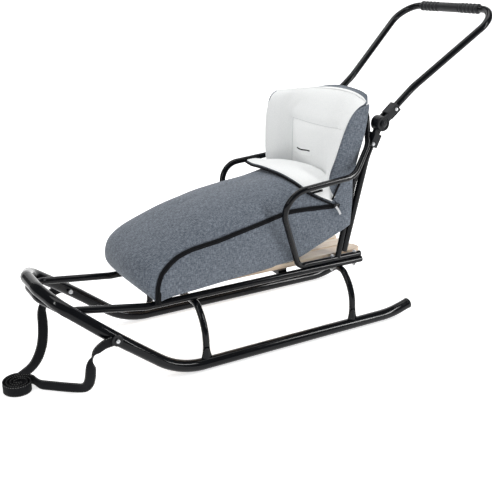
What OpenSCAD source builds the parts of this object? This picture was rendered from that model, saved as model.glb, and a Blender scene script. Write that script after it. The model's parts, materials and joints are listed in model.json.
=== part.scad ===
// Child's sled with tube runners, a slatted seat, a folding push handle and a padded footmuff.
// Axes: +X is forward, +Y is the sled's left, +Z is up and the floor is Z = 0. Units are millimetres.

/* [Runners and bow] */
// Distance between the centre lines of the two runners
runner_gauge = 350; // [300:2:420]
// Diameter of the runner and bow tube
runner_d = 30; // [24:1:36]
// Rear end of the runners, behind the datum
runner_rear = 404; // [340:2:460]
// Length of the upturned rear tip
runner_tip_length = 61; // [40:1:100]
// Height that the rear tip rises
runner_tip_rise = 16; // [6:1:40]
// Where the runners turn up into the bow, ahead of the datum
runner_turn = 314; // [280:2:340]
// Angle of the bow's plane above the floor
bow_angle = 38; // [30:1:45]
// Distance up the slope to the knee where the bow narrows
bow_knee = 200; // [170:1:225]
// Distance up the slope to the bow's shoulder
bow_shoulder = 338; // [320:1:350]
// Distance up the slope to the bow's nose
bow_nose = 369; // [365:1:400]
// Half width of the bow at its shoulder
bow_shoulder_half = 120; // [110:1:135]
// Half width of the bow's straight nose
bow_nose_half = 45; // [35:1:60]

/* [Seat frame] */
// Distance between the centre lines of the seat rails
rail_gauge = 234; // [220:2:246]
// Diameter of the seat rail tube
rail_d = 18; // [16:1:20]
// Height of the rails' centre line
rail_height = 173; // [160:1:190]
// Rear end of the rails, behind the datum
rail_rear = 275; // [265:1:300]
// Where the rails turn up towards the bow
rail_kink = 369; // [355:1:385]
// Half width of the rails at the front corners
rail_front_half = 104; // [90:1:108]
// How far the rails' front corners are set back from the bow
rail_corner_back = 16; // [12:1:24]
// Wall of the rail tube at its open rear ends
rail_wall = 2; // [1.5:0.5:3]
// Depth of the open bore in the rails' rear ends
rail_bore_depth = 40; // [20:1:60]
// Diameter of the leg arches
arch_d = 17; // [14:1:20]
// Position of the front leg arch
front_arch_x = 240; // [200:2:260]
// Position of the rear leg arch
rear_arch_x = -208; // [-240:2:-180]

/* [Seat] */
// Number of seat slats
slat_count = 4; // [3:1:5]
// Width of one slat
slat_w = 44; // [36:1:46]
// Gap between slats
slat_gap = 8; // [4:1:10]
// Thickness of a slat
slat_t = 13; // [10:1:18]
// Front end of the slats
slat_front = 350; // [330:2:360]
// Rear end of the slats, behind the datum
slat_rear = 288; // [270:2:320]
// Height of the slats' underside above the rail tops
slat_lift = 4; // [2:0.5:8]
// Width of the cross bars under the slats
bearer_w = 25; // [18:1:40]
// Height of the cross bars under the slats
bearer_t = 12; // [8:1:16]
// Position of the front cross bar
front_bearer_x = 310; // [280:2:330]
// Position of the middle cross bar
middle_bearer_x = -22; // [-100:2:100]
// Position of the rear cross bar
rear_bearer_x = -240; // [-250:2:-160]

/* [Armrests and back hoop] */
// Diameter of the armrest and hoop tube
arm_d = 16; // [14:1:18]
// Distance between the armrests' centre lines at their front corners
arm_gauge = 354; // [340:2:370]
// Rear end of the tube that lies on the rail, behind the datum
arm_foot_rear = 270; // [262:1:285]
// Where the tube on the rail turns up, behind the datum
arm_foot_front = 66; // [60:1:80]
// Front top corner of the armrest, ahead of the datum
arm_front = 36; // [20:1:50]
// Height of the armrest's front corner
arm_height = 411; // [400:1:430]
// Length of the armrest from its front corner to its rear bend
arm_length = 234; // [220:1:245]
// Rise of the armrest towards the rear
arm_rise = 20; // [10:1:30]
// Height of the bend where the hoop turns inboard
hoop_bend_height = 500; // [490:1:510]
// Height of the hoop's cross tube
hoop_height = 584; // [570:1:600]
// How far the hoop's top corners lie inboard of the hinges
hoop_inset = 38; // [36:1:50]

/* [Push handle] */
// Diameter of the handle's lower legs
leg_d = 18; // [16:1:19]
// Height of the lower legs' free ends
leg_foot_height = 207; // [202:1:215]
// Position of the hinge, behind the datum
hinge_back = 306; // [300:1:315]
// Height of the hinge
hinge_height = 552; // [540:1:565]
// Distance between the hinges
hinge_gauge = 264; // [254:2:272]
// Radius of the hinge discs
hinge_r = 20; // [17:1:22]
// Width of the hinge's middle tongue
hinge_tongue = 12; // [10:1:14]
// Thickness of each hinge cheek
hinge_cheek = 7; // [5:1:9]
// Running gap between tongue and cheeks
hinge_gap = 0.5; // [0.3:0.1:1]
// Radius of the hinge pin
hinge_pin_r = 4; // [3:0.5:5]
// Radial running clearance of the hinge pin
hinge_pin_clearance = 0.08; // [0.05:0.01:0.1]
// Distance from the hinge to the start of each socket
socket_start = 29; // [28:1:32]
// Length of the hinge sockets
socket_length = 36; // [30:1:44]
// Wall of the hinge sockets
socket_wall = 2.4; // [2:0.2:3]
// Diameter of the handle tube
handle_d = 19; // [17:1:20]
// Length of the handle from the hinge to its kink
handle_kink = 136; // [125:1:150]
// Angle of the handle's first stretch above the floor
handle_angle = 39; // [34:1:44]
// How far the grip lies behind the kink
grip_back = 240; // [220:1:260]
// How far the grip lies above the kink
grip_rise = 194; // [180:1:210]
// Half width of the handle at its top corners
handle_half = 195; // [185:1:205]
// Diameter of the grip
grip_d = 26; // [24:1:32]
// Straight tube left bare between the grip and the handle's bends
grip_margin = 3; // [2:0.5:20]

/* [Footmuff] */
// Rear end of the footmuff's sides, behind the datum
muff_rear = 198; // [190:1:200]
// Front end of the footmuff's foot, ahead of the datum
muff_front = 346; // [330:1:350]
// Height of the footmuff's crown above the seat
muff_height = 242; // [225:1:250]
// Gap between the footmuff and the armrests
muff_arm_gap = 24; // [18:1:34]
// Thickness of the padded walls
muff_t = 14; // [10:1:18]
// Thickness of the seat pad
muff_pad_t = 20; // [12:1:26]
// Half width of the seat pad
muff_pad_half = 88; // [76:1:90]
// Thickness of the back cushion at its foot
muff_back_t = 50; // [44:1:54]
// Height of the back cushion's top edge
muff_back_top = 636; // [620:1:650]
// Lean of the side wings
muff_back_lean = 7; // [5:0.5:8]
// Depth of the side wings, from back to front
muff_wing_depth = 74; // [60:1:84]
// Height of the wings' top edge
muff_wing_top = 604; // [580:1:620]
// Depth of the turned-down collar
muff_collar_depth = 88; // [60:1:90]
// Thickness of the turned-down collar
muff_collar_t = 9; // [6:1:12]

/* [Tow strap] */
// Width of the webbing
strap_w = 20; // [15:1:25]
// Thickness of the webbing
strap_t = 2; // [1.5:0.5:3]
// Outer radius of the rolled-up end
strap_roll_r = 40; // [30:1:50]
// Radius of the tow bolts
tow_bolt_r = 4; // [3:0.5:5]
// Radius of the washers that hold the strap
tow_washer_r = 13.5; // [10:0.5:15]
// Thickness of those washers
tow_washer_t = 4; // [3:0.5:6]

/* [Clearances] */
// Gap at welded and seated contacts
seat_clear = 0.1; // [0.05:0.05:0.3]
// Gap between sewn or padded pieces
soft_clear = 0.4; // [0.3:0.1:0.8]
// Gap of tubes in their sockets and bolts in their holes
slip_clear = 0.1; // [0.05:0.05:0.2]

/* [Hidden] */
$fn = 48;
bend_swell = 0.2;
bend_lap = 0.8;

// Runner and bow vertices, rear tip to nose, on the left side
runner_half = runner_gauge / 2;
runner_z = runner_d / 2;
function bow_at(s, y) = [runner_turn + s * cos(bow_angle), y, runner_z + s * sin(bow_angle)];
knee_half = runner_half - 5.5;
runner_left = [
    [-runner_rear, runner_half, runner_z + runner_tip_rise],
    [-runner_rear + runner_tip_length, runner_half, runner_z],
    [runner_turn, runner_half, runner_z],
    bow_at(bow_knee, knee_half),
    bow_at(bow_shoulder, bow_shoulder_half),
    bow_at(bow_nose, bow_nose_half)];
runner_bends = [250, 190, 280, 60, 60];

// Seat rail vertices, rear to front, on the left side
rail_half = rail_gauge / 2;
rail_top = rail_height + rail_d / 2;
nose = bow_at(bow_nose, 0);
// The rails' front runs under the bow, this far straight below it, and turns back at its corners
rail_drop = (runner_d + rail_d) / 2 + 2 * bend_swell + seat_clear;
rail_in = rail_drop * sin(bow_angle);
bow_slant = atan((bow_nose - bow_shoulder) / (bow_shoulder_half - bow_nose_half));
rail_nose_half = bow_nose_half - rail_in * tan(bow_slant / 2);
rail_corner_s = bow_nose - (rail_front_half - bow_nose_half) * tan(bow_slant) - rail_in / cos(bow_slant);
function under_bow(s, y) = bow_at(s, y) + rail_drop * cos(bow_angle) * [sin(bow_angle), 0, -cos(bow_angle)];
rail_left = [
    [-rail_rear, rail_half, rail_height],
    [rail_kink, rail_half, rail_height],
    under_bow(rail_corner_s, rail_front_half) - [rail_corner_back, 0, 0],
    under_bow(bow_nose - rail_in, rail_nose_half)];
rail_bends = [80, 42, 52];

// Leg arches
arch_z = rail_height - rail_d / 2 - arch_d / 2 - seat_clear;
arch_left = [
    [0, runner_half, runner_z],
    [0, runner_half - 5, arch_z - 45],
    [0, rail_half + 9, arch_z]];
arch_bends = [105, 30];

// Seat
seat_z = rail_top + slat_lift;
seat_top = seat_z + slat_t;
seat_half = (slat_count * slat_w + (slat_count - 1) * slat_gap) / 2;

// Armrest and hoop vertices, rear foot to hoop corner, on the left side
arm_half = arm_gauge / 2;
arm_foot_z = rail_top + arm_d / 2 + bend_swell + seat_clear;
arm_bend = [arm_front - arm_length, arm_half - 5, arm_height + arm_rise];
hoop_bend = [arm_bend[0] - 63.5, hinge_gauge / 2 + arm_d / 2 + 1.4, hoop_bend_height];
hoop_corner = [hoop_bend[0] - 27, hinge_gauge / 2 - hoop_inset, hoop_height];
arm_left = [
    [-arm_foot_rear, rail_half, arm_foot_z],
    [-arm_foot_front, rail_half, arm_foot_z],
    [arm_front, arm_half, arm_height],
    arm_bend,
    hoop_bend,
    hoop_corner];
arm_bends = [30, 58, 60, 60, 45];

// Handle legs and back struts, on the left side
hinge_half = hinge_gauge / 2;
hinge = [-hinge_back, hinge_half, hinge_height];
leg_bend = [-hinge_back + 40, hinge_half, hinge_height - 84];
leg_lean = 0.195;
leg_foot = [leg_bend[0] + leg_lean * (leg_bend[2] - leg_foot_height), rail_half - 1, leg_foot_height];
leg_axis = unit(hinge - leg_bend);
leg_left = [leg_foot, leg_bend, hinge - (socket_start + 2) * leg_axis];
leg_bends = [80];
function leg_x(z) = leg_bend[0] + leg_lean * (leg_bend[2] - z);
strut_pitch = ((arm_d + leg_d) / 2 + 0.3) * sqrt(1 + leg_lean * leg_lean);
strut_top = arm_bend + 0.62 * (hoop_bend - arm_bend);
strut_bend_z = arm_height - 11;
strut_left = [
    [leg_x(arm_foot_z) + strut_pitch, rail_half, arm_foot_z],
    [leg_x(strut_bend_z) + strut_pitch, rail_half + 3, strut_bend_z],
    strut_top];
strut_bends = [60];

// Handle vertices, hinge to grip, on the left side
handle_axis = [-cos(handle_angle), 0, sin(handle_angle)];
kink = hinge + handle_kink * handle_axis;
handle_left = [
    hinge + (socket_start + 2) * handle_axis,
    kink,
    [kink[0] - grip_back, handle_half, kink[2] + grip_rise]];
handle_bends = [120, 62];
grip_x = handle_left[2][0];
grip_z = handle_left[2][2];
grip_bend = setback(kink, handle_left[2], flip(handle_left)[2], handle_bends[1]);
grip_half = handle_half - grip_bend - grip_margin;

// The origin lies under the middle of the sled's length
front_reach = nose[0] + runner_d / 2;
rear_reach = grip_x - grip_d / 2;
datum = -(front_reach + rear_reach) / 2;

// Footmuff sections along the seat, rear to front, as shares of its length, height and half width.
// Columns: place along, lean of the crown, half width, inward taper at the foot, foot, crown, zip height
muff_foot = seat_top + soft_clear;
muff_half = arm_half - arm_d / 2 - muff_arm_gap;
muff_shares = [
    [0, -0.0661, 0.9724, 0.06, 0.3388, 1, 0.8388],
    [0.0331, 0, 1, 0.12, 0.2562, 0.9835, 0.8182],
    [0.1066, 0, 1, 0.18, 0.1736, 0.9587, 0.6198],
    [0.2537, 0, 1, 0.26, 0.0744, 0.9174, 0.6364],
    [0.4375, 0, 1, 0.2, 0, 0.8554, 0.5785],
    [0.6213, 0, 0.9862, 0.1, 0, 0.7934, 0.5041],
    [0.8051, 0, 0.9724, 0.05, 0, 0.686, 0.4421],
    [0.9338, 0.0331, 0.9586, 0.03, 0, 0.562, 0.3636],
    [1, 0.1157, 0.9172, 0.02, 0, 0.4132, 0.2066]];
muff_rows = [for (r = muff_shares) let (x = -muff_rear + r[0] * (muff_rear + muff_front))
    [x, x + r[1] * muff_height, r[2] * muff_half, r[3],
        muff_foot + r[4] * muff_height, muff_foot + r[5] * muff_height, muff_foot + r[6] * muff_height]];
muff_cover_first = 2;
muff_steps = 16;
muff_round = 0.5;

// Back cushion and wings. The cushion's outline from the side goes up its front and down its rear:
// columns are depth ahead of its foot line and height above its foot, as shares of thickness and height
muff_back_foot = muff_rows[0][4] + 2;
muff_back_x = muff_rows[0][0] - 12;
muff_back_shares = [
    [0.72, 0], [0.84, 0.19], [0.9, 0.56], [0.86, 0.75], [0.48, 0.87], [-0.04, 0.96], [-0.36, 1],
    [-0.76, 1], [-1.12, 0.92], [-1.12, 0.86], [-0.92, 0.75], [-0.6, 0.56], [-0.36, 0.38], [-0.28, 0]];
muff_back_rows = [for (r = muff_back_shares)
    [muff_back_x + r[0] * muff_back_t, muff_back_foot + r[1] * (muff_back_top - muff_back_foot)]];
muff_back_half_low = rail_half - arm_d / 2 - 11;
muff_back_half_top = hinge_half - 14;

// Tow bolts and strap
tow_axis_s = bow_knee;
bow_turn_front = atan((knee_half - bow_shoulder_half) / (bow_shoulder - bow_knee));
bow_turn_rear = atan((runner_half - knee_half) / bow_knee);
tow_tilt = (bow_turn_front + bow_turn_rear) / 2;
knee_cut = runner_bends[2] * (1 / cos((bow_turn_front - bow_turn_rear) / 2) - 1);
tow_at = bow_at(tow_axis_s, knee_half - knee_cut);
tow_half = (runner_d / 2 + bend_swell) / cos(tow_tilt);
tow_seat = tow_at[1] + tow_half;
tow_nut_r = tow_bolt_r + 2.5;
tow_nut_face = tow_at[1] - tow_half - tow_nut_r * tan(tow_tilt) - seat_clear;
strap_seat = tow_seat + 0.4;
washer_seat = tow_seat + max(strap_t + 0.6, tow_washer_r * tan(tow_tilt) + seat_clear);
roll_x = nose[0] + runner_d / 2 + 54;
roll_y = 42;
strap_foot = strap_w / 2 + 0.5;
// Strap routes: columns are position, then the direction of the webbing's width
strap_y = strap_seat + strap_t / 2;
strap_left_route = [
    [[tow_at[0] + 10, strap_y, tow_at[2]], [0.3, 0, 1]],
    [[502, 182, 134], [0.5, 0.1, 1]],
    [[520, 181, 122], [1, 0, 0.8]],
    [[530, 178, 104], [1, -0.5, 0.3]],
    [[534, 174, 80], [1, -0.7, 0]],
    [[535, 168, 56], [1, -0.6, 0]],
    [[537, 158, 34], [0.9, -0.4, 0.5]],
    [[544, 146, 18], [0.5, -0.2, 1]],
    [[556, 130, 12], [0.15, -0.1, 1]],
    [[580, 108, 11], [0, 0, 1]],
    [[606, 84, strap_foot], [0, 0, 1]],
    [[626, 66, strap_foot], [0, 0, 1]],
    [[roll_x - strap_roll_r, roll_y + 0.25 * strap_roll_r, strap_foot], [0, 0, 1]]];
strap_right_route = [
    [[tow_at[0] + 10, -strap_y, tow_at[2]], [0.3, 0, 1]],
    [[506, -181, 134], [0.5, 0, 1]],
    [[528, -172, 124], [0.8, 0.3, 1]],
    [[545, -152, 112], [0.9, 0.5, 0.8]],
    [[556, -126, 104], [1, 0.3, 0.3]],
    [[564, -96, 92], [1, 0, 0]],
    [[572, -72, 74], [1, 0, 0]],
    [[582, -54, 52], [1, -0.1, 0.2]],
    [[596, -40, 32], [0.8, -0.2, 0.6]],
    [[612, -28, 18], [0.4, -0.2, 1]],
    [[630, -16, 12], [0.1, -0.1, 1]],
    [[648, -6, strap_foot], [0, 0, 1]],
    [[roll_x - 0.3 * strap_roll_r, roll_y - strap_roll_r, strap_foot], [0, 0, 1]]];

// Vector helpers
function unit(v) = v / norm(v);
function mirrored(p) = [for (i = [len(p) - 1:-1:0]) [p[i][0], -p[i][1], p[i][2]]];
function reversed(r) = [for (i = [len(r) - 1:-1:0]) r[i]];
function flip(p) = [for (q = p) [q[0], -q[1], q[2]]];
function turn(a, b, c) = acos(min(1, max(-1, unit(b - a) * unit(c - b))));
function setback(a, b, c, r) = r * tan(turn(a, b, c) / 2);
function placed(x, y, z, o) = [
    [x[0], y[0], z[0], o[0]],
    [x[1], y[1], z[1], o[1]],
    [x[2], y[2], z[2], o[2]],
    [0, 0, 0, 1]];

// Straight round bar between two points
module rod(a, b, d) {
    z = unit(b - a);
    x = unit(cross(abs(z[1]) < 0.9 ? [0, 1, 0] : [0, 0, 1], z));
    // turned about its axis so that its seam stays clear of the bends' seams
    multmatrix(placed(x, cross(z, x), z, a))
        rotate([0, 0, 47])
            cylinder(d = d, h = norm(b - a));
}

// Round bar bent at vertex b
module elbow(a, b, c, r, d) {
    ang = turn(a, b, c);
    u = unit(a - b);
    v = unit(c - b);
    mid = b + unit(u + v) * r / cos(ang / 2);
    x = unit(b + u * r * tan(ang / 2) - mid);
    e = unit(b + v * r * tan(ang / 2) - mid);
    y = unit(e - (e * x) * x);
    multmatrix(placed(x, y, cross(x, y), mid))
        rotate_extrude(angle = ang)
            translate([r, 0])
                circle(d = d);
}

// Bent tube that goes over the left vertices and back over their mirror images
module mirrored_tube(p, r, d) {
    bent_tube(concat(p, mirrored(p)), concat(r, reversed(r)), d);
}

// Bent tube through vertices p with bend radii r, from straight piece first to straight piece last.
// The bends swell a little, and the straight pieces lap into them.
module bent_tube(p, r, d, first = 0, last = -1) {
    n = len(p);
    stop = last < 0 ? n - 2 : last;
    for (i = [first:stop]) {
        s = i == 0 ? 0 : setback(p[i - 1], p[i], p[i + 1], r[i - 1]) - bend_lap;
        e = i == n - 2 ? 0 : setback(p[i], p[i + 1], p[i + 2], r[i]) - bend_lap;
        w = unit(p[i + 1] - p[i]);
        rod(p[i] + s * w, p[i + 1] - e * w, d);
        if (i < stop)
            elbow(p[i], p[i + 1], p[i + 2], r[i], d + 2 * bend_swell);
    }
}

// Round bar along Y
module cross_pin(x, z, y0, y1, r) {
    translate([x, y1, z])
        rotate([90, 0, 0])
            cylinder(r = r, h = y1 - y0);
}

// Round piece about the hinge's axis, y0 to y1 out from the hinge's middle
module hinge_round(y0, y1, r) {
    cross_pin(hinge[0], hinge[2], hinge_half + y0, hinge_half + y1, r);
}

// Box along a tilted axis in an X-Z plane, starting at distance s from point o
module tilted_box(o, axis, s, length, wide, thick) {
    z = axis;
    x = unit(cross([0, 1, 0], z));
    multmatrix(placed(x, [0, 1, 0], z, o))
        translate([-thick / 2, -wide / 2, s])
            cube([thick, wide, length]);
}

// Places a piece in the finished frame
module at_datum() {
    translate([datum, 0, 0])
        children();
}

// Mirrors a left piece to the right when side is -1
module on_side(side) {
    if (side > 0)
        children();
    else
        mirror([0, 1, 0])
            children();
}

module runner_tube() {
    color([0.05, 0.05, 0.055])
        at_datum()
            difference() {
                mirrored_tube(runner_left, runner_bends, runner_d);
                for (side = [1, -1])
                    on_side(side)
                        bolt_round(tow_at[1] - runner_d, tow_at[1] + runner_d, tow_bolt_r + slip_clear);
            }
}

module tow_bolt(side) {
    color([0.05, 0.05, 0.055])
        at_datum()
            on_side(side) {
                bolt_round(tow_nut_face - 5, washer_seat + tow_washer_t, tow_bolt_r);
                bolt_round(tow_nut_face - 5, tow_nut_face, tow_nut_r);
                bolt_round(washer_seat, washer_seat + tow_washer_t, tow_washer_r);
                bolt_round(washer_seat + tow_washer_t, washer_seat + tow_washer_t + 3, tow_bolt_r + 2);
            }
}

// Round piece on the tow bolt's axis
module bolt_round(y0, y1, r) {
    cross_pin(tow_at[0], tow_at[2], y0, y1, r);
}

module seat_rail() {
    color([0.05, 0.05, 0.055])
        at_datum()
            difference() {
                mirrored_tube(rail_left, rail_bends, rail_d);
                for (y = [-rail_half, rail_half])
                    translate([-rail_rear - 1, y, rail_height])
                        rotate([0, 90, 0])
                            cylinder(d = rail_d - 2 * rail_wall, h = rail_bore_depth + 1);
            }
}

module leg_arch(x) {
    color([0.05, 0.05, 0.055])
        at_datum()
            translate([x, 0, 0])
                difference() {
                    mirrored_tube(arch_left, arch_bends, arch_d);
                    for (y = [-runner_half, runner_half])
                        translate([-arch_d, y, runner_z])
                            rotate([0, 90, 0])
                                cylinder(d = runner_d + 2 * seat_clear, h = 2 * arch_d);
                }
}

module front_arch() {
    leg_arch(front_arch_x);
}

module rear_arch() {
    leg_arch(rear_arch_x);
}

module bearer(x) {
    color([0.05, 0.05, 0.055])
        at_datum()
            difference() {
                translate([x - bearer_w / 2, -rail_half, seat_z - bearer_t])
                    cube([bearer_w, rail_gauge, bearer_t]);
                for (y = [-rail_half, rail_half])
                    translate([x - bearer_w, y, rail_height])
                        rotate([0, 90, 0])
                            cylinder(d = rail_d + 2 * seat_clear, h = 2 * bearer_w);
                for (side = [1, -1])
                    on_side(side)
                        translate([x - bearer_w, rail_half - rail_d / 2 - seat_clear, rail_height])
                            cube([2 * bearer_w, rail_d, bearer_t + slat_lift + rail_d]);
            }
}

module front_bearer() {
    bearer(front_bearer_x);
}

module middle_bearer() {
    bearer(middle_bearer_x);
}

module rear_bearer() {
    bearer(rear_bearer_x);
}

module seat_slats() {
    round_r = slat_w / 2 - 6;
    slat_length = slat_front + slat_rear;
    color([0.83, 0.68, 0.52])
        at_datum()
            for (i = [0:slat_count - 1])
                translate([-slat_rear, -seat_half + i * (slat_w + slat_gap), seat_z + seat_clear])
                    linear_extrude(slat_t - seat_clear)
                        union() {
                            translate([round_r, 0])
                                square([slat_length - 2 * round_r, slat_w]);
                            for (x = [round_r, slat_length - round_r], y = [round_r, slat_w - round_r])
                                translate([x, y])
                                    circle(r = round_r);
                            translate([0, round_r])
                                square([slat_length, slat_w - 2 * round_r]);
                        }
}

module arm_hoop() {
    color([0.05, 0.05, 0.055])
        at_datum()
            mirrored_tube(arm_left, arm_bends, arm_d);
}

module back_strut(side) {
    color([0.05, 0.05, 0.055])
        at_datum()
            on_side(side)
                difference() {
                    bent_tube(strut_left, strut_bends, arm_d);
                    rod([-arm_foot_rear, rail_half, arm_foot_z], [-arm_foot_front, rail_half, arm_foot_z],
                        arm_d + 2 * seat_clear);
                    rod(arm_bend, hoop_bend, arm_d + 2 * seat_clear);
                }
}

module handle_leg(side) {
    color([0.05, 0.05, 0.055])
        at_datum()
            on_side(side)
                bent_tube(leg_left, leg_bends, leg_d);
}

module hinge_base(side) {
    wide = hinge_tongue + 2 * hinge_cheek + 2 * hinge_gap - 2;
    color([0.06, 0.06, 0.065])
        at_datum()
            on_side(side)
                difference() {
                    union() {
                        hinge_round(-hinge_tongue / 2, hinge_tongue / 2, hinge_r);
                        tilted_box(hinge, -leg_axis, 0, socket_start + 1, hinge_tongue - 1, leg_d);
                        tilted_box(hinge, -leg_axis, socket_start, socket_length, wide,
                            leg_d + 2 * socket_wall);
                    }
                    rod(hinge - (socket_start + 2 - slip_clear) * leg_axis,
                        hinge - (socket_start + socket_length + 1) * leg_axis, leg_d + 2 * slip_clear);
                    hinge_round(-hinge_tongue, hinge_tongue, hinge_pin_r + hinge_pin_clearance);
                    bent_tube(arm_left, arm_bends, arm_d + 2 * seat_clear, 3, 4);
                }
}

module hinge_pin(side) {
    pin_half = hinge_tongue / 2 + hinge_gap + hinge_cheek + 0.3;
    color([0.1, 0.1, 0.105])
        at_datum()
            on_side(side) {
                hinge_round(-pin_half - 3, pin_half + 3, hinge_pin_r);
                hinge_round(pin_half, pin_half + 3, hinge_pin_r + 5);
                hinge_round(-pin_half - 3, -pin_half, hinge_pin_r + 5);
            }
}

module hinge_fork(side) {
    inner = hinge_tongue / 2 + hinge_gap;
    outer = inner + hinge_cheek;
    color([0.06, 0.06, 0.065])
        at_datum()
            on_side(side)
                difference() {
                    union() {
                        for (y = [inner, -outer]) {
                            hinge_round(y, y + hinge_cheek, hinge_r);
                            tilted_box(hinge + [0, y + hinge_cheek / 2, 0], handle_axis, 0,
                                socket_start + 1, hinge_cheek - 1, handle_d);
                        }
                        tilted_box(hinge, handle_axis, socket_start, socket_length, 2 * outer - 2,
                            handle_d + 2 * socket_wall);
                    }
                    rod(hinge + (socket_start + 2 - slip_clear) * handle_axis,
                        hinge + (socket_start + socket_length + 1) * handle_axis,
                        handle_d + 2 * slip_clear);
                    hinge_round(-2 * outer, 2 * outer, hinge_pin_r + hinge_pin_clearance);
                }
}

module handle_tube() {
    color([0.05, 0.05, 0.055])
        at_datum()
            mirrored_tube(handle_left, handle_bends, handle_d);
}

module handle_grip() {
    color([0.08, 0.08, 0.085])
        at_datum()
            difference() {
                cross_pin(grip_x, grip_z, -grip_half, grip_half, grip_d / 2);
                cross_pin(grip_x, grip_z, -grip_half - 1, grip_half + 1, handle_d / 2 + slip_clear);
            }
}

// One point of a footmuff section: row table entry, share of the arc from zip to zip, offset outwards
function muff_point(row, angle, grow) =
    let (high = row[5] - row[4] + grow,
         s = pow(max(0, sin(angle)), muff_round),
         c = pow(abs(cos(angle)), muff_round),
         z = row[4] + high * s,
         share = min(1, (z - row[4]) / (row[5] - row[4])),
         y = (cos(angle) < 0 ? -1 : 1) * ((row[2] + grow) * c - row[2] * row[3] * (1 - share) * c))
    [row[0] + (row[1] - row[0]) * share, y, z];
function muff_angle(row, z, grow) =
    let (share = (z - row[4]) / (row[5] - row[4] + grow))
    asin(pow(min(1, max(0, share)), 1 / muff_round));
function muff_arc(row, low, high, grow, share) =
    muff_point(row, low(row, grow) + (high(row, grow) - low(row, grow)) * share, grow);

// Shell over rows first to last of the table, between heights given as low angles, closed all round
module muff_shell(rows, low, high, outer, inner, steps) {
    n = len(rows);
    m = steps + 1;
    pts = concat(
        [for (i = [0:n - 1], j = [0:steps])
            muff_arc(rows[i], low, high, outer, j / steps)],
        [for (i = [0:n - 1], j = [0:steps])
            muff_arc(rows[i], low, high, inner, j / steps)]);
    o = n * m;
    faces = concat(
        [for (i = [0:n - 2], j = [0:steps - 1]) each [
            [i * m + j, i * m + j + 1, (i + 1) * m + j + 1],
            [i * m + j, (i + 1) * m + j + 1, (i + 1) * m + j],
            [o + i * m + j, o + (i + 1) * m + j + 1, o + i * m + j + 1],
            [o + i * m + j, o + (i + 1) * m + j, o + (i + 1) * m + j + 1]]],
        [for (j = [0:steps - 1]) each [
            [j, o + j + 1, j + 1],
            [j, o + j, o + j + 1],
            [(n - 1) * m + j, (n - 1) * m + j + 1, o + (n - 1) * m + j + 1],
            [(n - 1) * m + j, o + (n - 1) * m + j + 1, o + (n - 1) * m + j]]],
        [for (i = [0:n - 2]) each [
            [i * m, (i + 1) * m, o + (i + 1) * m],
            [i * m, o + (i + 1) * m, o + i * m],
            [i * m + steps, o + (i + 1) * m + steps, (i + 1) * m + steps],
            [i * m + steps, o + i * m + steps, o + (i + 1) * m + steps]]]);
    polyhedron(points = pts, faces = faces);
}

module muff_cover() {
    rows = [for (i = [muff_cover_first:len(muff_rows) - 1]) muff_rows[i]];
    color([0.36, 0.38, 0.42])
        at_datum()
            muff_shell(rows, function (r, g) muff_angle(r, r[6] + soft_clear, g),
                function (r, g) 180 - muff_angle(r, r[6] + soft_clear, g), 0, -muff_t, muff_steps);
}

module muff_side(side) {
    color([0.36, 0.38, 0.42])
        at_datum()
            on_side(side)
                muff_shell(muff_rows, function (r, g) 0, function (r, g) muff_angle(r, r[6], g),
                    0, -muff_t, 5);
}

module muff_toe() {
    row = muff_rows[len(muff_rows) - 1];
    rows = [
        [row[0] + soft_clear, row[1] + soft_clear, row[2], row[3], row[4], row[5], row[6]],
        [row[0] + muff_t, row[1] + muff_t, row[2] - 8, row[3], row[4], row[5] - 8, row[6]]];
    m = muff_steps + 1;
    pts = [for (i = [0, 1], j = [0:muff_steps]) muff_point(rows[i], 180 * j / muff_steps, 0)];
    color([0.36, 0.38, 0.42])
        at_datum()
            polyhedron(points = pts, faces = concat(
                [[for (j = [0:muff_steps]) muff_steps - j], [for (j = [0:muff_steps]) m + j]],
                [for (j = [0:muff_steps - 1]) each [[j, j + 1, m + j + 1], [j, m + j + 1, m + j]]],
                [[0, m, m + muff_steps], [0, m + muff_steps, muff_steps]]));
}

module muff_collar() {
    a = muff_rows[muff_cover_first];
    b = muff_rows[muff_cover_first + 1];
    c = muff_rows[muff_cover_first + 2];
    past = muff_collar_depth - b[0] + a[0];
    rows = past <= 0 ? [a, a + muff_collar_depth / (b[0] - a[0]) * (b - a)]
        : [a, b, b + past / (c[0] - b[0]) * (c - b)];
    color([0.92, 0.93, 0.93])
        at_datum()
            muff_shell(rows, function (r, g) 48, function (r, g) 132,
                soft_clear + muff_collar_t, soft_clear, muff_steps);
}

module muff_base() {
    front = muff_rows[8][0] - soft_clear;
    bend = muff_rows[3][0];
    rear = muff_back_rows[len(muff_back_rows) - 1][0] + 4;
    rest = muff_back_rows[0][0] + 2;
    color([0.92, 0.93, 0.93])
        at_datum()
            translate([0, muff_pad_half, 0])
                rotate([90, 0, 0])
                    linear_extrude(2 * muff_pad_half)
                        polygon([
                            [front, muff_foot],
                            [bend, muff_foot],
                            [rest, muff_back_foot - muff_pad_t],
                            [rear, muff_back_foot - muff_pad_t],
                            [rear, muff_back_foot - soft_clear],
                            [rest, muff_back_foot - soft_clear],
                            [bend + 6, muff_foot + muff_pad_t],
                            [front, muff_foot + muff_pad_t]]);
}

module muff_back() {
    r = 26;
    step = arm_bend[2];
    color([0.92, 0.93, 0.93])
        at_datum()
            difference() {
                translate([0, muff_back_half_top, 0])
                    rotate([90, 0, 0])
                        linear_extrude(2 * muff_back_half_top)
                            polygon(muff_back_rows);
                for (side = [1, -1])
                    on_side(side) {
                        translate([muff_back_x - 100, muff_back_half_low, muff_back_foot - 1])
                            cube([200, muff_back_half_top, step - muff_back_foot + 1]);
                        translate([muff_back_x, muff_back_half_top - r, muff_back_top - r])
                            rotate([90, 0, 90])
                                translate([0, 0, -100])
                                    linear_extrude(200)
                                        difference() {
                                            square([2 * r, 2 * r]);
                                            circle(r = r);
                                        }
                    }
            }
}

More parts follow.
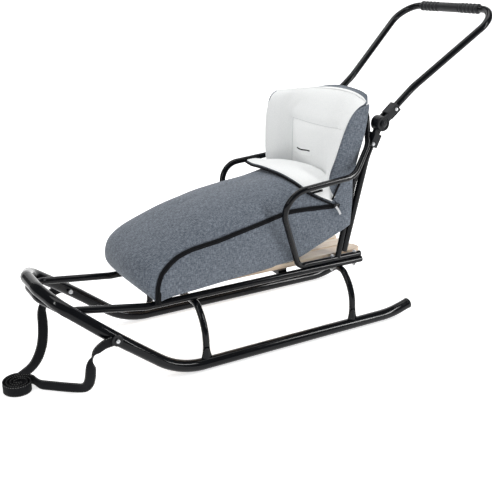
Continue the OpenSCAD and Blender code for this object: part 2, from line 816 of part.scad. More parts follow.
module muff_wing(side) {
    low = muff_rows[0][6] + 2 * soft_clear;
    lean = tan(muff_back_lean);
    rear_low = muff_back_x - lean * (low - muff_back_foot) + 2;
    rear_top = muff_back_x - lean * (muff_wing_top - muff_back_foot) - 10;
    r = 34;
    front = rear_low + muff_wing_depth;
    corner = [rear_top + muff_wing_depth - r, muff_wing_top - r];
    color([0.36, 0.38, 0.42])
        at_datum()
            on_side(side)
                translate([0, muff_back_half_top + soft_clear + muff_t, 0])
                    rotate([90, 0, 0])
                        linear_extrude(muff_t)
                            polygon(concat(
                                [[rear_top, muff_wing_top], [rear_low, low], [front, low]],
                                [for (a = [0:15:90]) corner + r * [cos(a), sin(a)]]));
}

// Flat webbing along a route, as one closed ribbon
module webbing(route) {
    n = len(route);
    along = [for (i = [0:n - 1]) unit(route[min(i + 1, n - 1)][0] - route[max(i - 1, 0)][0])];
    wide = [for (i = [0:n - 1]) unit(route[i][1] - (route[i][1] * along[i]) * along[i])];
    pts = [for (i = [0:n - 1]) let (w = wide[i] * strap_w / 2, t = cross(along[i], wide[i]) * strap_t / 2)
        each [route[i][0] - w - t, route[i][0] + w - t, route[i][0] + w + t, route[i][0] - w + t]];
    polyhedron(points = pts, faces = concat(
        [for (i = [0:n - 2], k = [0:3]) each [
            [4 * i + k, 4 * i + (k + 1) % 4, 4 * i + 4 + (k + 1) % 4],
            [4 * i + k, 4 * i + 4 + (k + 1) % 4, 4 * i + 4 + k]]],
        [[3, 2, 1], [3, 1, 0], [4 * n - 4, 4 * n - 3, 4 * n - 2], [4 * n - 4, 4 * n - 2, 4 * n - 1]]));
}

module strap_left_run() {
    color([0.04, 0.04, 0.045])
        at_datum()
            webbing(strap_left_route);
}

module strap_right_run() {
    color([0.04, 0.04, 0.045])
        at_datum()
            webbing(strap_right_route);
}

module strap_roll() {
    color([0.04, 0.04, 0.045])
        at_datum()
            translate([roll_x, roll_y, 0])
                rotate_extrude()
                    translate([0, 0.5])
                        square([strap_roll_r, strap_w]);
}

runner_tube();
tow_bolt(1);  // tow_bolt_left
tow_bolt(-1);  // tow_bolt_right
seat_rail();
front_arch();
rear_arch();
front_bearer();
middle_bearer();
rear_bearer();
seat_slats();
arm_hoop();
back_strut(1);  // back_strut_left
back_strut(-1);  // back_strut_right
handle_leg(1);  // handle_leg_left
handle_leg(-1);  // handle_leg_right
hinge_base(1);  // hinge_base_left
hinge_base(-1);  // hinge_base_right
hinge_pin(1);  // hinge_pin_left
hinge_pin(-1);  // hinge_pin_right
hinge_fork(1);  // hinge_fork_left
hinge_fork(-1);  // hinge_fork_right
handle_tube();
handle_grip();
muff_base();
muff_back();
muff_wing(1);  // muff_wing_left
muff_wing(-1);  // muff_wing_right
muff_side(1);  // muff_side_left
muff_side(-1);  // muff_side_right
muff_toe();
muff_cover();
muff_collar();
strap_left_run();
strap_right_run();
strap_roll();
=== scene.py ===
"""Child's push sled with a padded footmuff: finishes, soft parts, hardware, strap, studio and camera.

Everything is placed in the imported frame. Points are written in millimetres from the drawing's datum, which
lies DATUM ahead of the frame's origin: +X is forward, +Y the sled's left, +Z up.
"""

import json
import math

import bpy
import numpy as np
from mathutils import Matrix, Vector, noise


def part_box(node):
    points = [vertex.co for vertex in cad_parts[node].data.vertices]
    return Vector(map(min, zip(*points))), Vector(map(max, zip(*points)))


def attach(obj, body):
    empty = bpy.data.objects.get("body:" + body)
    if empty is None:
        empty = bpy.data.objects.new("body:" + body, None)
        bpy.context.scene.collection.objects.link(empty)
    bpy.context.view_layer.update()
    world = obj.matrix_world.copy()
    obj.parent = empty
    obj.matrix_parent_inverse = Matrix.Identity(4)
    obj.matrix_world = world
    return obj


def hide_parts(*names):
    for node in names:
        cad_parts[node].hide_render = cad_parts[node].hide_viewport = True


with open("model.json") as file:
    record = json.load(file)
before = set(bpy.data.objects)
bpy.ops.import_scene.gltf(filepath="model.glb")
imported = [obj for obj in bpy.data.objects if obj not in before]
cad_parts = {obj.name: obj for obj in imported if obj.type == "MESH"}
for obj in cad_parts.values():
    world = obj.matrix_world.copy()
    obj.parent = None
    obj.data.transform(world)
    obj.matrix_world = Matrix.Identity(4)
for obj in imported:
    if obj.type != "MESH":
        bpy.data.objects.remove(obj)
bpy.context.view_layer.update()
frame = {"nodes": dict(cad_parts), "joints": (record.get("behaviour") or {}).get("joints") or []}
NODES = frame["nodes"]
MM = 0.001
HINGE = (-306.0, 132.0, 552.0)
DATUM = frame["joints"][0]["pos_m"][0] / MM - HINGE[0]
SIDES = ((1, "left"), (-1, "right"))
STRAP_W = 25.0


# Points, curves and grids


def place(points):
    """Datum millimetres to metres in the frame."""
    return (np.asarray(points, float) + [DATUM, 0, 0]) * MM


def even(points, count):
    """Points at even steps along a polyline."""
    p = np.asarray(points, float)
    s = np.r_[0, np.cumsum(np.linalg.norm(np.diff(p, axis=0), axis=1))]
    at = np.linspace(0, s[-1], count)
    return np.stack([np.interp(at, s, p[:, k]) for k in range(p.shape[1])], 1)


def through(points, steps=16):
    """A smooth Catmull-Rom curve through points."""
    p = np.asarray(points, float)
    q = np.vstack([2 * p[0] - p[1], p, 2 * p[-1] - p[-2]])
    t = np.linspace(0, 1, steps, endpoint=False)[:, None]
    out = []
    for a, b, c, d in zip(q[:-3], q[1:-2], q[2:-1], q[3:]):
        out.append(
            0.5 * (2 * b + (c - a) * t + (2 * a - 5 * b + 4 * c - d) * t**2 + (3 * b - a - 3 * c + d) * t**3)
        )
    return np.vstack(out + [p[-1:]])


def spline(points, count):
    """Points at even steps along a smooth curve."""
    return even(through(points), count)


def rows_between(controls, counts):
    """Rows of a control grid joined by smooth columns, with counts[i] steps after control row i."""
    fine = 32
    c = np.asarray(controls, float)
    flat = through(c.reshape(len(c), -1), fine).reshape(-1, *c.shape[1:])
    rows = []
    for i, n in enumerate(counts):
        rows.extend(flat[int(round(fine * (i + k / n)))] for k in range(n))
    return np.array(rows + [flat[-1]])


def unit(v):
    return v / np.maximum(np.linalg.norm(v, axis=-1, keepdims=True), 1e-9)


def normals(grid):
    return unit(np.cross(np.gradient(grid, axis=0), np.gradient(grid, axis=1)))


def lengths(grid):
    """Millimetres along both ways of a grid, as its UV."""
    u = np.r_[0, np.cumsum(np.linalg.norm(np.diff(grid, axis=0), axis=2).mean(1))]
    v = np.r_[0, np.cumsum(np.linalg.norm(np.diff(grid, axis=1), axis=2).mean(0))]
    return np.stack(np.meshgrid(u, v, indexing="ij"), 2)


def quads(n, m, base=0, flip=False, close=False):
    """Faces of an n by m grid whose points are numbered from base. close joins each row's ends."""
    out = []
    for i in range(n - 1):
        for j in range(m if close else m - 1):
            k = (j + 1) % m
            q = (base + i * m + j, base + (i + 1) * m + j, base + (i + 1) * m + k, base + i * m + k)
            out.append(q[::-1] if flip else q)
    return out


def border(n, m):
    """Indices round the edge of an n by m grid."""
    return (
        list(range(m))
        + [i * m + m - 1 for i in range(1, n)]
        + [(n - 1) * m + j for j in range(m - 2, -1, -1)]
        + [i * m for i in range(n - 2, 0, -1)]
    )


# Making pieces


def piece(name, verts, faces, materials, index=None, uv=None, body="sled"):
    """A mesh piece from datum millimetres, riding on a body."""
    mesh = bpy.data.meshes.new(name)
    mesh.from_pydata([tuple(v) for v in place(verts)], [], [tuple(int(i) for i in f) for f in faces])
    for m in materials:
        mesh.materials.append(m)
    if index is not None:
        mesh.polygons.foreach_set("material_index", np.asarray(index, np.int32))
    mesh.polygons.foreach_set("use_smooth", np.full(len(mesh.polygons), True))
    if uv is not None:
        layer = mesh.uv_layers.new(name="UVMap")
        corner = np.zeros(len(mesh.loops), np.int32)
        mesh.loops.foreach_get("vertex_index", corner)
        layer.data.foreach_set("uv", (np.asarray(uv)[corner] * MM).astype(np.float32).ravel())
    mesh.validate()
    mesh.update()
    obj = bpy.data.objects.new(name, mesh)
    bpy.context.scene.collection.objects.link(obj)
    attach(obj, body)
    return obj


def shell(name, grid, thick, materials, rim_of=None):
    """A closed padded shell: grid is its outer face, and its inner face lies thick below.

    Materials: outer, inner, rim. rim_of(row, column) may choose the rim's material along each edge.
    """
    n, m = grid.shape[:2]
    inner = grid - normals(grid) * thick
    ring = border(n, m)
    verts = np.vstack([grid.reshape(-1, 3), inner.reshape(-1, 3)])
    uv = np.vstack([lengths(grid).reshape(-1, 2)] * 2)
    outer_faces = quads(n, m)
    inner_faces = quads(n, m, n * m, True)
    rim = [(a, b, n * m + b, n * m + a) for a, b in zip(ring, ring[1:] + ring[:1])]
    middle = [((f[0] // m + f[1] // m) / 2, (f[0] % m + f[1] % m) / 2) for f in rim]
    rim_index = [rim_of(*c) if rim_of else 2 for c in middle]
    index = [0] * len(outer_faces) + [1] * len(inner_faces) + rim_index
    return piece(name, verts, outer_faces + inner_faces + rim, materials, index, uv)


def skin(name, rings, material, flip=False, uv=None, body="sled"):
    """A closed skin over rings of points with capped ends. flip is for rings that turn the other way."""
    n, m = rings.shape[:2]
    first, last = tuple(range(m)), tuple(range((n - 1) * m, n * m))
    caps = [first, last[::-1]] if flip else [first[::-1], last]
    faces = quads(n, m, 0, flip, True) + caps
    if uv is None:
        uv = lengths(rings).reshape(-1, 2)
    return piece(name, rings.reshape(-1, 3), faces, [material], uv=uv, body=body)


def tube(name, path, radius, material, sides=10):
    """A round cord or piping along a path."""
    no_path = np.array([0.31, 0.17, 0.93])
    p = np.asarray(path, float)
    t = unit(np.gradient(p, axis=0))
    a = unit(np.cross(t, no_path))
    b = np.cross(t, a)
    r = np.broadcast_to(np.asarray(radius, float), (len(p),))
    ang = np.linspace(0, 2 * math.pi, sides, endpoint=False)
    rings = p[:, None] + r[:, None, None] * (
        np.cos(ang)[None, :, None] * a[:, None] + np.sin(ang)[None, :, None] * b[:, None]
    )
    return skin(name, rings, material, True)


def subdivide(obj):
    mod = obj.modifiers.new("smooth", "SUBSURF")
    mod.levels = 1
    mod.render_levels = 1


def puff(obj, pinned, pressure, cap, frames=20):
    """Swells a closed padded piece with cloth pressure and keeps the result.

    The pinned points are held, and no point moves further than cap.
    """
    group = obj.vertex_groups.new(name="pinned")
    group.add([int(i) for i in pinned], 1.0, "REPLACE")
    mod = obj.modifiers.new("swell", "CLOTH")
    s = mod.settings
    s.quality = 5
    s.mass = 0.3
    s.tension_stiffness = s.compression_stiffness = 20
    s.shear_stiffness = 8
    s.bending_stiffness = 1.5
    s.use_pressure = True
    s.uniform_pressure_force = pressure
    s.vertex_group_mass = "pinned"
    s.effector_weights.gravity = 0
    mod.collision_settings.use_collision = False
    mod.point_cache.frame_start = 1
    mod.point_cache.frame_end = frames
    scene = bpy.context.scene
    for f in range(1, frames + 1):
        scene.frame_set(f)
    done = obj.evaluated_get(bpy.context.evaluated_depsgraph_get()).data
    count = len(obj.data.vertices)
    old, new = np.zeros(count * 3), np.zeros(count * 3)
    obj.data.vertices.foreach_get("co", old)
    done.vertices.foreach_get("co", new)
    move = (new - old).reshape(-1, 3)
    far = np.linalg.norm(move, axis=1, keepdims=True)
    move *= np.minimum(1, cap * MM / np.maximum(far, 1e-9))
    obj.modifiers.remove(mod)
    obj.vertex_groups.remove(group)
    obj.data.vertices.foreach_set("co", (old.reshape(-1, 3) + move).ravel())
    obj.data.update()
    scene.frame_set(1)


def ripple(grid, size, height, seed):
    """Soft unevenness along a grid's normals, which fades out at its edges."""
    faded_rows = 4
    start = Vector((seed, 2.3 * seed, 5.1))
    h = np.array([[noise.noise(Vector(p / size) + start) for p in row] for row in grid])
    fade = np.ones(grid.shape[:2])
    for axis, count in enumerate(grid.shape[:2]):
        step = np.arange(count)
        ramp = np.clip(np.minimum(step, count - 1 - step) / faded_rows, 0, 1)
        fade *= ramp[:, None] if axis == 0 else ramp[None]
    return grid + normals(grid) * (h * height * fade)[..., None]


# Materials


class Nodes:
    """A short way to write a node tree."""

    def __init__(self, name):
        self.mat = bpy.data.materials.new(name)
        self.mat.use_nodes = True
        self.tree = self.mat.node_tree
        self.shader = next(n for n in self.tree.nodes if n.type == "BSDF_PRINCIPLED")

    def add(self, kind, inputs=None, **settings):
        node = self.tree.nodes.new("ShaderNode" + kind)
        for k, v in settings.items():
            setattr(node, k, v)
        for k, v in (inputs or {}).items():
            if hasattr(v, "links"):
                self.tree.links.new(v, node.inputs[k])
            else:
                node.inputs[k].default_value = v
        return node

    def set(self, **values):
        for k, v in values.items():
            socket = self.shader.inputs[k.replace("_", " ")]
            if hasattr(v, "links"):
                self.tree.links.new(v, socket)
            else:
                socket.default_value = v

    def coords(self, kind="Object", scale=(1, 1, 1)):
        tex = self.add("TexCoord")
        return self.add("Mapping", {"Vector": tex.outputs[kind], "Scale": scale}).outputs["Vector"]

    def noise(self, vector, scale, detail=2.0, rough=0.5):
        n = self.add("TexNoise", {"Vector": vector, "Scale": scale, "Detail": detail, "Roughness": rough})
        return n.outputs["Fac"]

    def ramp(self, fac, *stops):
        node = self.add("ValToRGB", {"Fac": fac})
        e = node.color_ramp.elements
        while len(e) < len(stops):
            e.new(0.5)
        for k, (pos, col) in enumerate(stops):
            e[k].position = pos
            e[k].color = (*col, 1)
        return node.outputs["Color"]

    def math(self, op, a, b=0.5, c=0.0):
        return self.add("Math", {0: a, 1: b, 2: c}, operation=op).outputs[0]

    def mix(self, fac, a, b, kind="MIX"):
        node = self.add("Mix", {"Factor": fac}, data_type="RGBA", blend_type=kind)
        for k, v in ((6, a), (7, b)):
            if hasattr(v, "links"):
                self.tree.links.new(v, node.inputs[k])
            else:
                node.inputs[k].default_value = (*v, 1)
        return node.outputs[2]

    def bump(self, height, strength, distance):
        node = self.add("Bump", {"Height": height, "Strength": strength, "Distance": distance})
        self.set(Normal=node.outputs["Normal"])


def tube_paint():
    n = Nodes("black_powder_coat")
    where = n.coords()
    cloudy = n.noise(where, 22, 3)
    n.set(Base_Color=n.ramp(cloudy, (0.3, (0.0020, 0.0024, 0.0034)), (0.75, (0.0038, 0.0045, 0.0062))))
    n.set(Roughness=n.math("MULTIPLY_ADD", n.noise(where, 160, 3), 0.08, 0.07))
    n.set(Coat_Weight=0.06, Coat_Roughness=0.03, Specular_IOR_Level=0.2)
    n.bump(n.noise(where, 1500, 2), 0.05, 0.0003)
    return n.mat


def hinge_plastic():
    n = Nodes("satin_black_plastic")
    where = n.coords()
    speck = n.noise(where, 60)
    n.set(Base_Color=n.ramp(speck, (0.3, (0.0042, 0.005, 0.0066)), (0.8, (0.008, 0.0092, 0.0115))))
    n.set(Roughness=n.math("MULTIPLY_ADD", n.noise(where, 240), 0.14, 0.26), Specular_IOR_Level=0.3)
    n.bump(n.noise(where, 2600, 2), 0.15, 0.0002)
    return n.mat


def zinc():
    n = Nodes("zinc_plate")
    where = n.coords()
    speck = n.noise(where, 320, 3)
    n.set(Base_Color=n.ramp(speck, (0.25, (0.50, 0.51, 0.53)), (0.75, (0.74, 0.75, 0.76))), Metallic=1.0)
    n.set(Roughness=n.math("MULTIPLY_ADD", n.noise(where, 900), 0.2, 0.20))
    n.bump(n.noise(where, 1800), 0.1, 0.0002)
    return n.mat


def beech():
    n = Nodes("varnished_beech")
    where = n.coords(scale=(2.2, 34, 34))
    grain = n.noise(where, 3.2, 6, 0.62)
    fine = n.noise(n.coords(scale=(18, 420, 420)), 3.0, 3)
    base = n.ramp(grain, (0.28, (0.84, 0.62, 0.44)), (0.5, (0.94, 0.77, 0.59)), (0.72, (0.98, 0.86, 0.71)))
    flecks = n.ramp(fine, (0.40, (0.78, 0.70, 0.62)), (0.56, (1, 1, 1)))
    n.set(Base_Color=n.mix(0.5, base, flecks, "MULTIPLY"))
    n.set(Roughness=n.math("MULTIPLY_ADD", fine, 0.2, 0.34), Coat_Weight=0.25, Coat_Roughness=0.2)
    n.bump(fine, 0.18, 0.0004)
    return n.mat


def weave_height(n, pitch):
    """Plain weave: over and under threads of one pitch, in metres, from the UV."""
    turns = math.pi / pitch
    xyz = n.add("SeparateXYZ", {0: n.coords("UV")})
    a = n.math("SINE", n.math("MULTIPLY", xyz.outputs[0], turns))
    b = n.math("SINE", n.math("MULTIPLY", xyz.outputs[1], turns))
    return n.math("MULTIPLY_ADD", n.math("MULTIPLY", a, b), 0.5, 0.5)


def heather(dark, mid, light):
    """Melange cloth: streaks of pale and dark yarn both ways over a woven ground."""
    n = Nodes("heather_cloth")
    along = n.noise(n.coords("UV", (95, 450, 1)), 1.0, 4, 0.62)
    across = n.noise(n.coords("UV", (450, 95, 1)), 1.0, 4, 0.62)
    patches = n.noise(n.coords("UV", (30, 30, 1)), 1.0, 3, 0.5)
    fleck = n.math("ADD", n.math("MULTIPLY", along, 0.5), n.math("MULTIPLY", across, 0.5))
    yarn = n.math("ADD", n.math("MULTIPLY", fleck, 0.93), n.math("MULTIPLY", patches, 0.07))
    n.set(Base_Color=n.ramp(yarn, (0.40, dark), (0.5, mid), (0.61, light)))
    n.set(Roughness=0.92, Specular_IOR_Level=0.25, Sheen_Weight=0.18, Sheen_Roughness=0.5)
    height = n.math("ADD", n.math("MULTIPLY", weave_height(n, 0.0016), 0.6), n.math("MULTIPLY", fleck, 0.8))
    n.bump(height, 0.55, 0.0006)
    return n.mat


def fleece_cloth():
    n = Nodes("white_fleece")
    where = n.coords()
    curl = n.noise(where, 420, 4, 0.65)
    lumps = n.noise(where, 38, 3)
    n.set(Base_Color=n.ramp(curl, (0.3, (0.84, 0.86, 0.86)), (0.65, (0.925, 0.935, 0.93))))
    n.set(Roughness=0.95, Specular_IOR_Level=0.15, Sheen_Weight=0.25, Sheen_Roughness=0.6)
    n.bump(n.math("ADD", n.math("MULTIPLY", curl, 0.5), lumps), 0.35, 0.0016)
    return n.mat


def binding_tape():
    """Black woven tape of the bindings and zips."""
    n = Nodes("black_binding")
    dark = (0.0022, 0.0025, 0.0034)
    speck = n.noise(n.coords(), 700, 3)
    n.set(Base_Color=n.ramp(speck, (0.3, dark), (0.8, tuple(2.2 * c for c in dark))))
    n.set(Roughness=0.85, Specular_IOR_Level=0.2)
    n.bump(n.math("ADD", weave_height(n, 0.0018), speck), 0.4, 0.0005)
    return n.mat


def strap_webbing():
    """Black webbing with a row of pale stitches near each edge. U runs along it, V across, in metres."""
    half = STRAP_W / 2 * MM
    inset, stitch_half, pitch, stitch_part = 0.0016, 0.0007, 0.0056, 0.62
    n = Nodes("black_webbing")
    xyz = n.add("SeparateXYZ", {0: n.coords("UV")})
    u, v = xyz.outputs[0], xyz.outputs[1]
    from_edge = n.math("SUBTRACT", half, n.math("ABSOLUTE", n.math("SUBTRACT", v, half)))
    row = n.math("LESS_THAN", n.math("ABSOLUTE", n.math("SUBTRACT", from_edge, inset)), stitch_half)
    dash = n.math("LESS_THAN", n.math("FRACT", n.math("MULTIPLY", u, 1 / pitch)), stitch_part)
    stitch = n.math("MULTIPLY", row, dash)
    speck = n.noise(n.coords("UV", (900, 900, 1)), 1.0, 2)
    black = n.ramp(speck, (0.3, (0.003, 0.0034, 0.0045)), (0.8, (0.008, 0.0088, 0.011)))
    n.set(Base_Color=n.mix(stitch, black, (0.16, 0.16, 0.155)))
    n.set(Roughness=0.8, Specular_IOR_Level=0.2)
    height = n.math("ADD", weave_height(n, 0.0022), n.math("MULTIPLY", stitch, 0.8))
    n.bump(height, 0.5, 0.0006)
    return n.mat


def grip_rubber():
    n = Nodes("black_rubber")
    where = n.coords()
    speck = n.noise(where, 90)
    n.set(Base_Color=n.ramp(speck, (0.3, (0.0055, 0.0062, 0.0078)), (0.8, (0.012, 0.0132, 0.0155))))
    n.set(Roughness=n.math("MULTIPLY_ADD", n.noise(where, 300), 0.16, 0.36), Specular_IOR_Level=0.35)
    n.bump(n.noise(where, 1400, 3), 0.25, 0.0003)
    return n.mat


def specked(name, scale, dark, light, rough):
    """A matt surface with specks of two tones."""
    n = Nodes(name)
    n.set(Base_Color=n.ramp(n.noise(n.coords(), scale), (0.3, dark), (0.7, light)), Roughness=rough)
    return n


PAINT = tube_paint()
HINGE_BLACK = hinge_plastic()
ZINC = zinc()
WOOD = beech()
CLOTH = heather((0.066, 0.079, 0.100), (0.134, 0.156, 0.188), (0.240, 0.270, 0.310))
FLEECE = fleece_cloth()
BINDING = binding_tape()
WEBBING = strap_webbing()
RUBBER = grip_rubber()
# Grey for the cords along the lining's sewn lines: painted shade, standing for the shadow in the seams'
# creases
SEAM_SHADE = specked("painted_seam_shade", 700, (0.62, 0.64, 0.64), (0.76, 0.78, 0.78), rough=0.9).mat
TAB = specked("pale_tab", 900, (0.52, 0.53, 0.54), (0.70, 0.71, 0.72), rough=0.6).mat


def dress(material, *nodes):
    """Gives CAD nodes a finish."""
    for name in nodes:
        mesh = NODES[name].data
        mesh.materials.clear()
        mesh.materials.append(material)


dress(PAINT, "runner_tube", "seat_rail", "front_arch", "rear_arch", "arm_hoop", "handle_tube")
dress(PAINT, "front_bearer", "middle_bearer", "rear_bearer", "back_strut_left", "back_strut_right")
dress(PAINT, "handle_leg_left", "handle_leg_right")
dress(HINGE_BLACK, "hinge_base_left", "hinge_base_right", "hinge_fork_left", "hinge_fork_right")
dress(HINGE_BLACK, "hinge_pin_left", "hinge_pin_right", "tow_bolt_left", "tow_bolt_right")
dress(WOOD, "seat_slats")


# Camera

EYE = place((1026.9, 1728.6, 938.1))
AIM = place((0, 0, 250))
PICTURE = (492, 500)
FOCAL_PX = 785.8
CENTRE_PX = (254.4, 236.9)
SENSOR = 36.0
camera = bpy.data.objects.new("camera", bpy.data.cameras.new("camera"))
bpy.context.scene.collection.objects.link(camera)
camera.location = EYE
camera.rotation_mode = "QUATERNION"
camera.rotation_quaternion = (Vector(AIM) - Vector(EYE)).to_track_quat("-Z", "Y")
camera.data.sensor_width = SENSOR
camera.data.lens = FOCAL_PX / max(PICTURE) * SENSOR
camera.data.shift_x = (PICTURE[0] / 2 - CENTRE_PX[0]) / max(PICTURE)
camera.data.shift_y = (CENTRE_PX[1] - PICTURE[1] / 2) / max(PICTURE)
bpy.context.scene.camera = camera


# Footmuff

SEAT_TOP = 199.0
# Zip x, zip z, half width at the zip, crown x, crown z: from the toe's bottom edge to the mouth
COVER = np.array([
    (347, 179, 134, 360, 197), (346, 205, 136, 385, 215), (343, 228, 136, 398, 234),
    (335, 254, 137, 398, 259), (324, 270, 140, 386, 283), (309, 283, 140, 364, 301),
    (290, 294, 140, 335, 317), (261, 303, 140, 287, 338), (229, 308, 140, 233, 359),
    (180, 314, 139, 192, 374), (123, 325, 138, 140, 386), (57, 336, 134, 70, 398),
    (-15, 348, 128, 5, 408), (-61, 350, 128, -49, 418), (-121, 348, 131, -105, 428),
    (-172, 346, 134, -148, 432),
], float)
# Below 1 the cover's cross section is squarer than an ellipse
FULLNESS = 0.74
COVER_T, SIDE_T = 11.0, 7.0
# Sewn crease along the cover: its y, half width and depth, its ends in front and behind, and its fade there
CREASE_Y, CREASE_W, CREASE_DEPTH = -22, 9, 2.2
CREASE_FRONT, CREASE_REAR, CREASE_FADE = 270, -90, 60


def cover_grid(along=92, across=52):
    """The cover's outer face, from the toe's edge to the mouth and from the left zip to the right one."""
    c = spline(COVER, along)
    a = np.linspace(0, math.pi, across)
    lift = np.sin(a) ** FULLNESS
    side = np.sign(np.cos(a)) * np.abs(np.cos(a)) ** FULLNESS
    x = c[:, :1] + (c[:, 3:4] - c[:, :1]) * lift
    y = c[:, 2:3] * side
    z = c[:, 1:2] + (c[:, 4:5] - c[:, 1:2]) * lift
    return np.stack([x, y, z], 2)


def zip_line(side, count):
    c = spline(COVER, count)
    return np.stack([c[:, 0], side * c[:, 2], c[:, 1]], 1)


# Lower edge of the side panels: x, half width, height
LOW_EDGE = np.array([
    (-222, 134, 286), (-183, 130, 266), (-127, 118, 236), (-74, 107, 208), (-12, 110, 202),
    (47, 117, 200), (148, 128, 198), (235, 133, 194), (318, 133, 188), (352, 134, 178),
], float)
LOW_CURVE = through(LOW_EDGE)


def low_edge(x, side):
    y = np.interp(x, LOW_CURVE[:, 0], LOW_CURVE[:, 1])
    z = np.interp(x, LOW_CURVE[:, 0], LOW_CURVE[:, 2])
    return np.stack([np.asarray(x, float), side * y, z], -1)


# Front and rear edges of the gussets beside the back, from the zip's rear end upwards
GUSSET = {
    1: (
        [(-172, 134, 346), (-156, 135, 378), (-147, 134, 415), (-157, 137, 452), (-166, 140, 483),
         (-177, 141, 516), (-188, 142, 546), (-206, 141, 578), (-230, 138, 597), (-256, 135, 604)],
        [(-221, 139, 346), (-220, 140, 378), (-219, 141, 415), (-228, 140, 449), (-240, 139, 487),
         (-252, 138, 522), (-261, 136, 556), (-266, 134, 582), (-268, 133, 598), (-268, 132, 606)],
    ),
    -1: (
        [(-172, -134, 346), (-146, -141, 380), (-127, -148, 415), (-123, -151, 450),
         (-123, -152, 490), (-125, -152, 532), (-129, -151, 570), (-137, -151, 596),
         (-149, -150, 609), (-162, -149, 615)],
        [(-221, -139, 346), (-221, -140, 380), (-222, -140, 415), (-228, -140, 450),
         (-236, -140, 487), (-243, -139, 525), (-248, -138, 563), (-247, -138, 590),
         (-240, -139, 604), (-226, -141, 613)],
    ),
}


# A side panel swells fully where it is FULL_HEIGHT high, and is pressed flat beside the armrest's foot
PANEL_SWELL, FULL_HEIGHT = 5.0, 80
ARM_X, ARM_REACH, ARM_PRESS = -25, 60, 0.9
GUSSET_SWELL, GUSSET_REAR = 4.0, -221.0


def side_grids(side, along=84, up=16, back=10):
    """The side panel below the zip, and the gusset that goes on from it up beside the back."""
    top = zip_line(side, along)
    low = low_edge(top[:, 0], side)
    r = np.linspace(0, 1, up)[None, :, None]
    panel = low[:, None] * (1 - r) + top[:, None] * r
    full = np.clip((top[:, 2] - low[:, 2]) / FULL_HEIGHT, 0, 1)[:, None]
    near_arm = np.exp(-(((top[:, 0] - ARM_X) / ARM_REACH) ** 2))[:, None]
    swell = PANEL_SWELL * np.sin(math.pi * r[0, :, 0])[None] * full
    panel[..., 1] += side * swell * (1 - ARM_PRESS * near_arm)
    front, rear = (spline(e, 40) for e in GUSSET[side])
    rear_low = low_edge(np.array([GUSSET_REAR]), side)[0]
    foot_rear = even(np.array([rear_low, rear[0]]), up)
    front = np.vstack([panel[-1], front[1:]])
    rear = np.vstack([foot_rear, rear[1:]])
    t = np.linspace(0, 1, back)[:, None, None]
    gusset = front[None] * (1 - t) + rear[None] * t
    gusset[..., 1] += side * GUSSET_SWELL * np.sin(math.pi * t[..., 0])
    gusset[:, 0] = low_edge(np.linspace(gusset[0, 0, 0], gusset[-1, 0, 0], back), side)
    return panel, gusset


def joined_shell(name, grids, thick, outward, materials):
    """One closed shell from grids that share an edge: verts that meet are one."""
    keys, verts, faces = {}, [], []
    for g in grids:
        n, m = g.shape[:2]
        ids = []
        for p in g.reshape(-1, 3):
            k = tuple(np.round(p, 1))
            if k not in keys:
                keys[k] = len(verts)
                verts.append(p)
            ids.append(keys[k])
        for q in quads(n, m):
            f = [ids[i] for i in q]
            f = [a for i, a in enumerate(f) if a != f[i - 1]]
            if len(f) > 2:
                faces.append(tuple(f))
    verts = np.array(verts)
    normal = np.zeros_like(verts)
    for f in faces:
        p = verts[list(f)]
        normal[list(f)] += np.cross(p[1] - p[0], p[2] - p[0])
    normal = unit(normal)
    if np.sum(normal[:, 1]) * outward < 0:
        normal = -normal
        faces = [f[::-1] for f in faces]
    edges = dict.fromkeys((a, b) for f in faces for a, b in zip(f, f[1:] + f[:1]))
    rim = [(b, a, len(verts) + a, len(verts) + b) for a, b in edges if (b, a) not in edges]
    both = np.vstack([verts, verts - normal * thick])
    inner = [tuple(len(verts) + i for i in f[::-1]) for f in faces]
    index = [0] * len(faces) + [1] * len(inner) + [2] * len(rim)
    uv = np.vstack([verts[:, [0, 2]]] * 2)
    return piece(name, both, faces + inner + rim, materials, index, uv)


cover_outer = ripple(cover_grid(), size=95.0, height=3.0, seed=1.7)
cover_x, cover_y = cover_outer[..., 0], cover_outer[..., 1]
crease = np.exp(-(((cover_y - CREASE_Y) / CREASE_W) ** 2))
crease *= np.clip((CREASE_FRONT - cover_x) / CREASE_FADE, 0, 1)
crease *= np.clip((cover_x - CREASE_REAR) / CREASE_FADE, 0, 1)
cover_outer[..., 2] -= CREASE_DEPTH * crease
cover = shell("muff_cover_soft", cover_outer, COVER_T, [CLOTH, FLEECE, CLOTH],
              rim_of=lambda i, j: 1 if i == len(cover_outer) - 1 else 2)
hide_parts("muff_cover", "muff_toe")
puff(cover, border(*cover_outer.shape[:2]), pressure=2.0, cap=3.0)
subdivide(cover)

for side, word in SIDES:
    panel, gusset = side_grids(side)
    grids = [ripple(panel, size=80.0, height=1.6, seed=3.1 + side), gusset]
    both = joined_shell(f"muff_side_{word}_soft", grids, SIDE_T, side, [CLOTH, FLEECE, CLOTH])
    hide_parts(f"muff_side_{word}", f"muff_wing_{word}")
    subdivide(both)

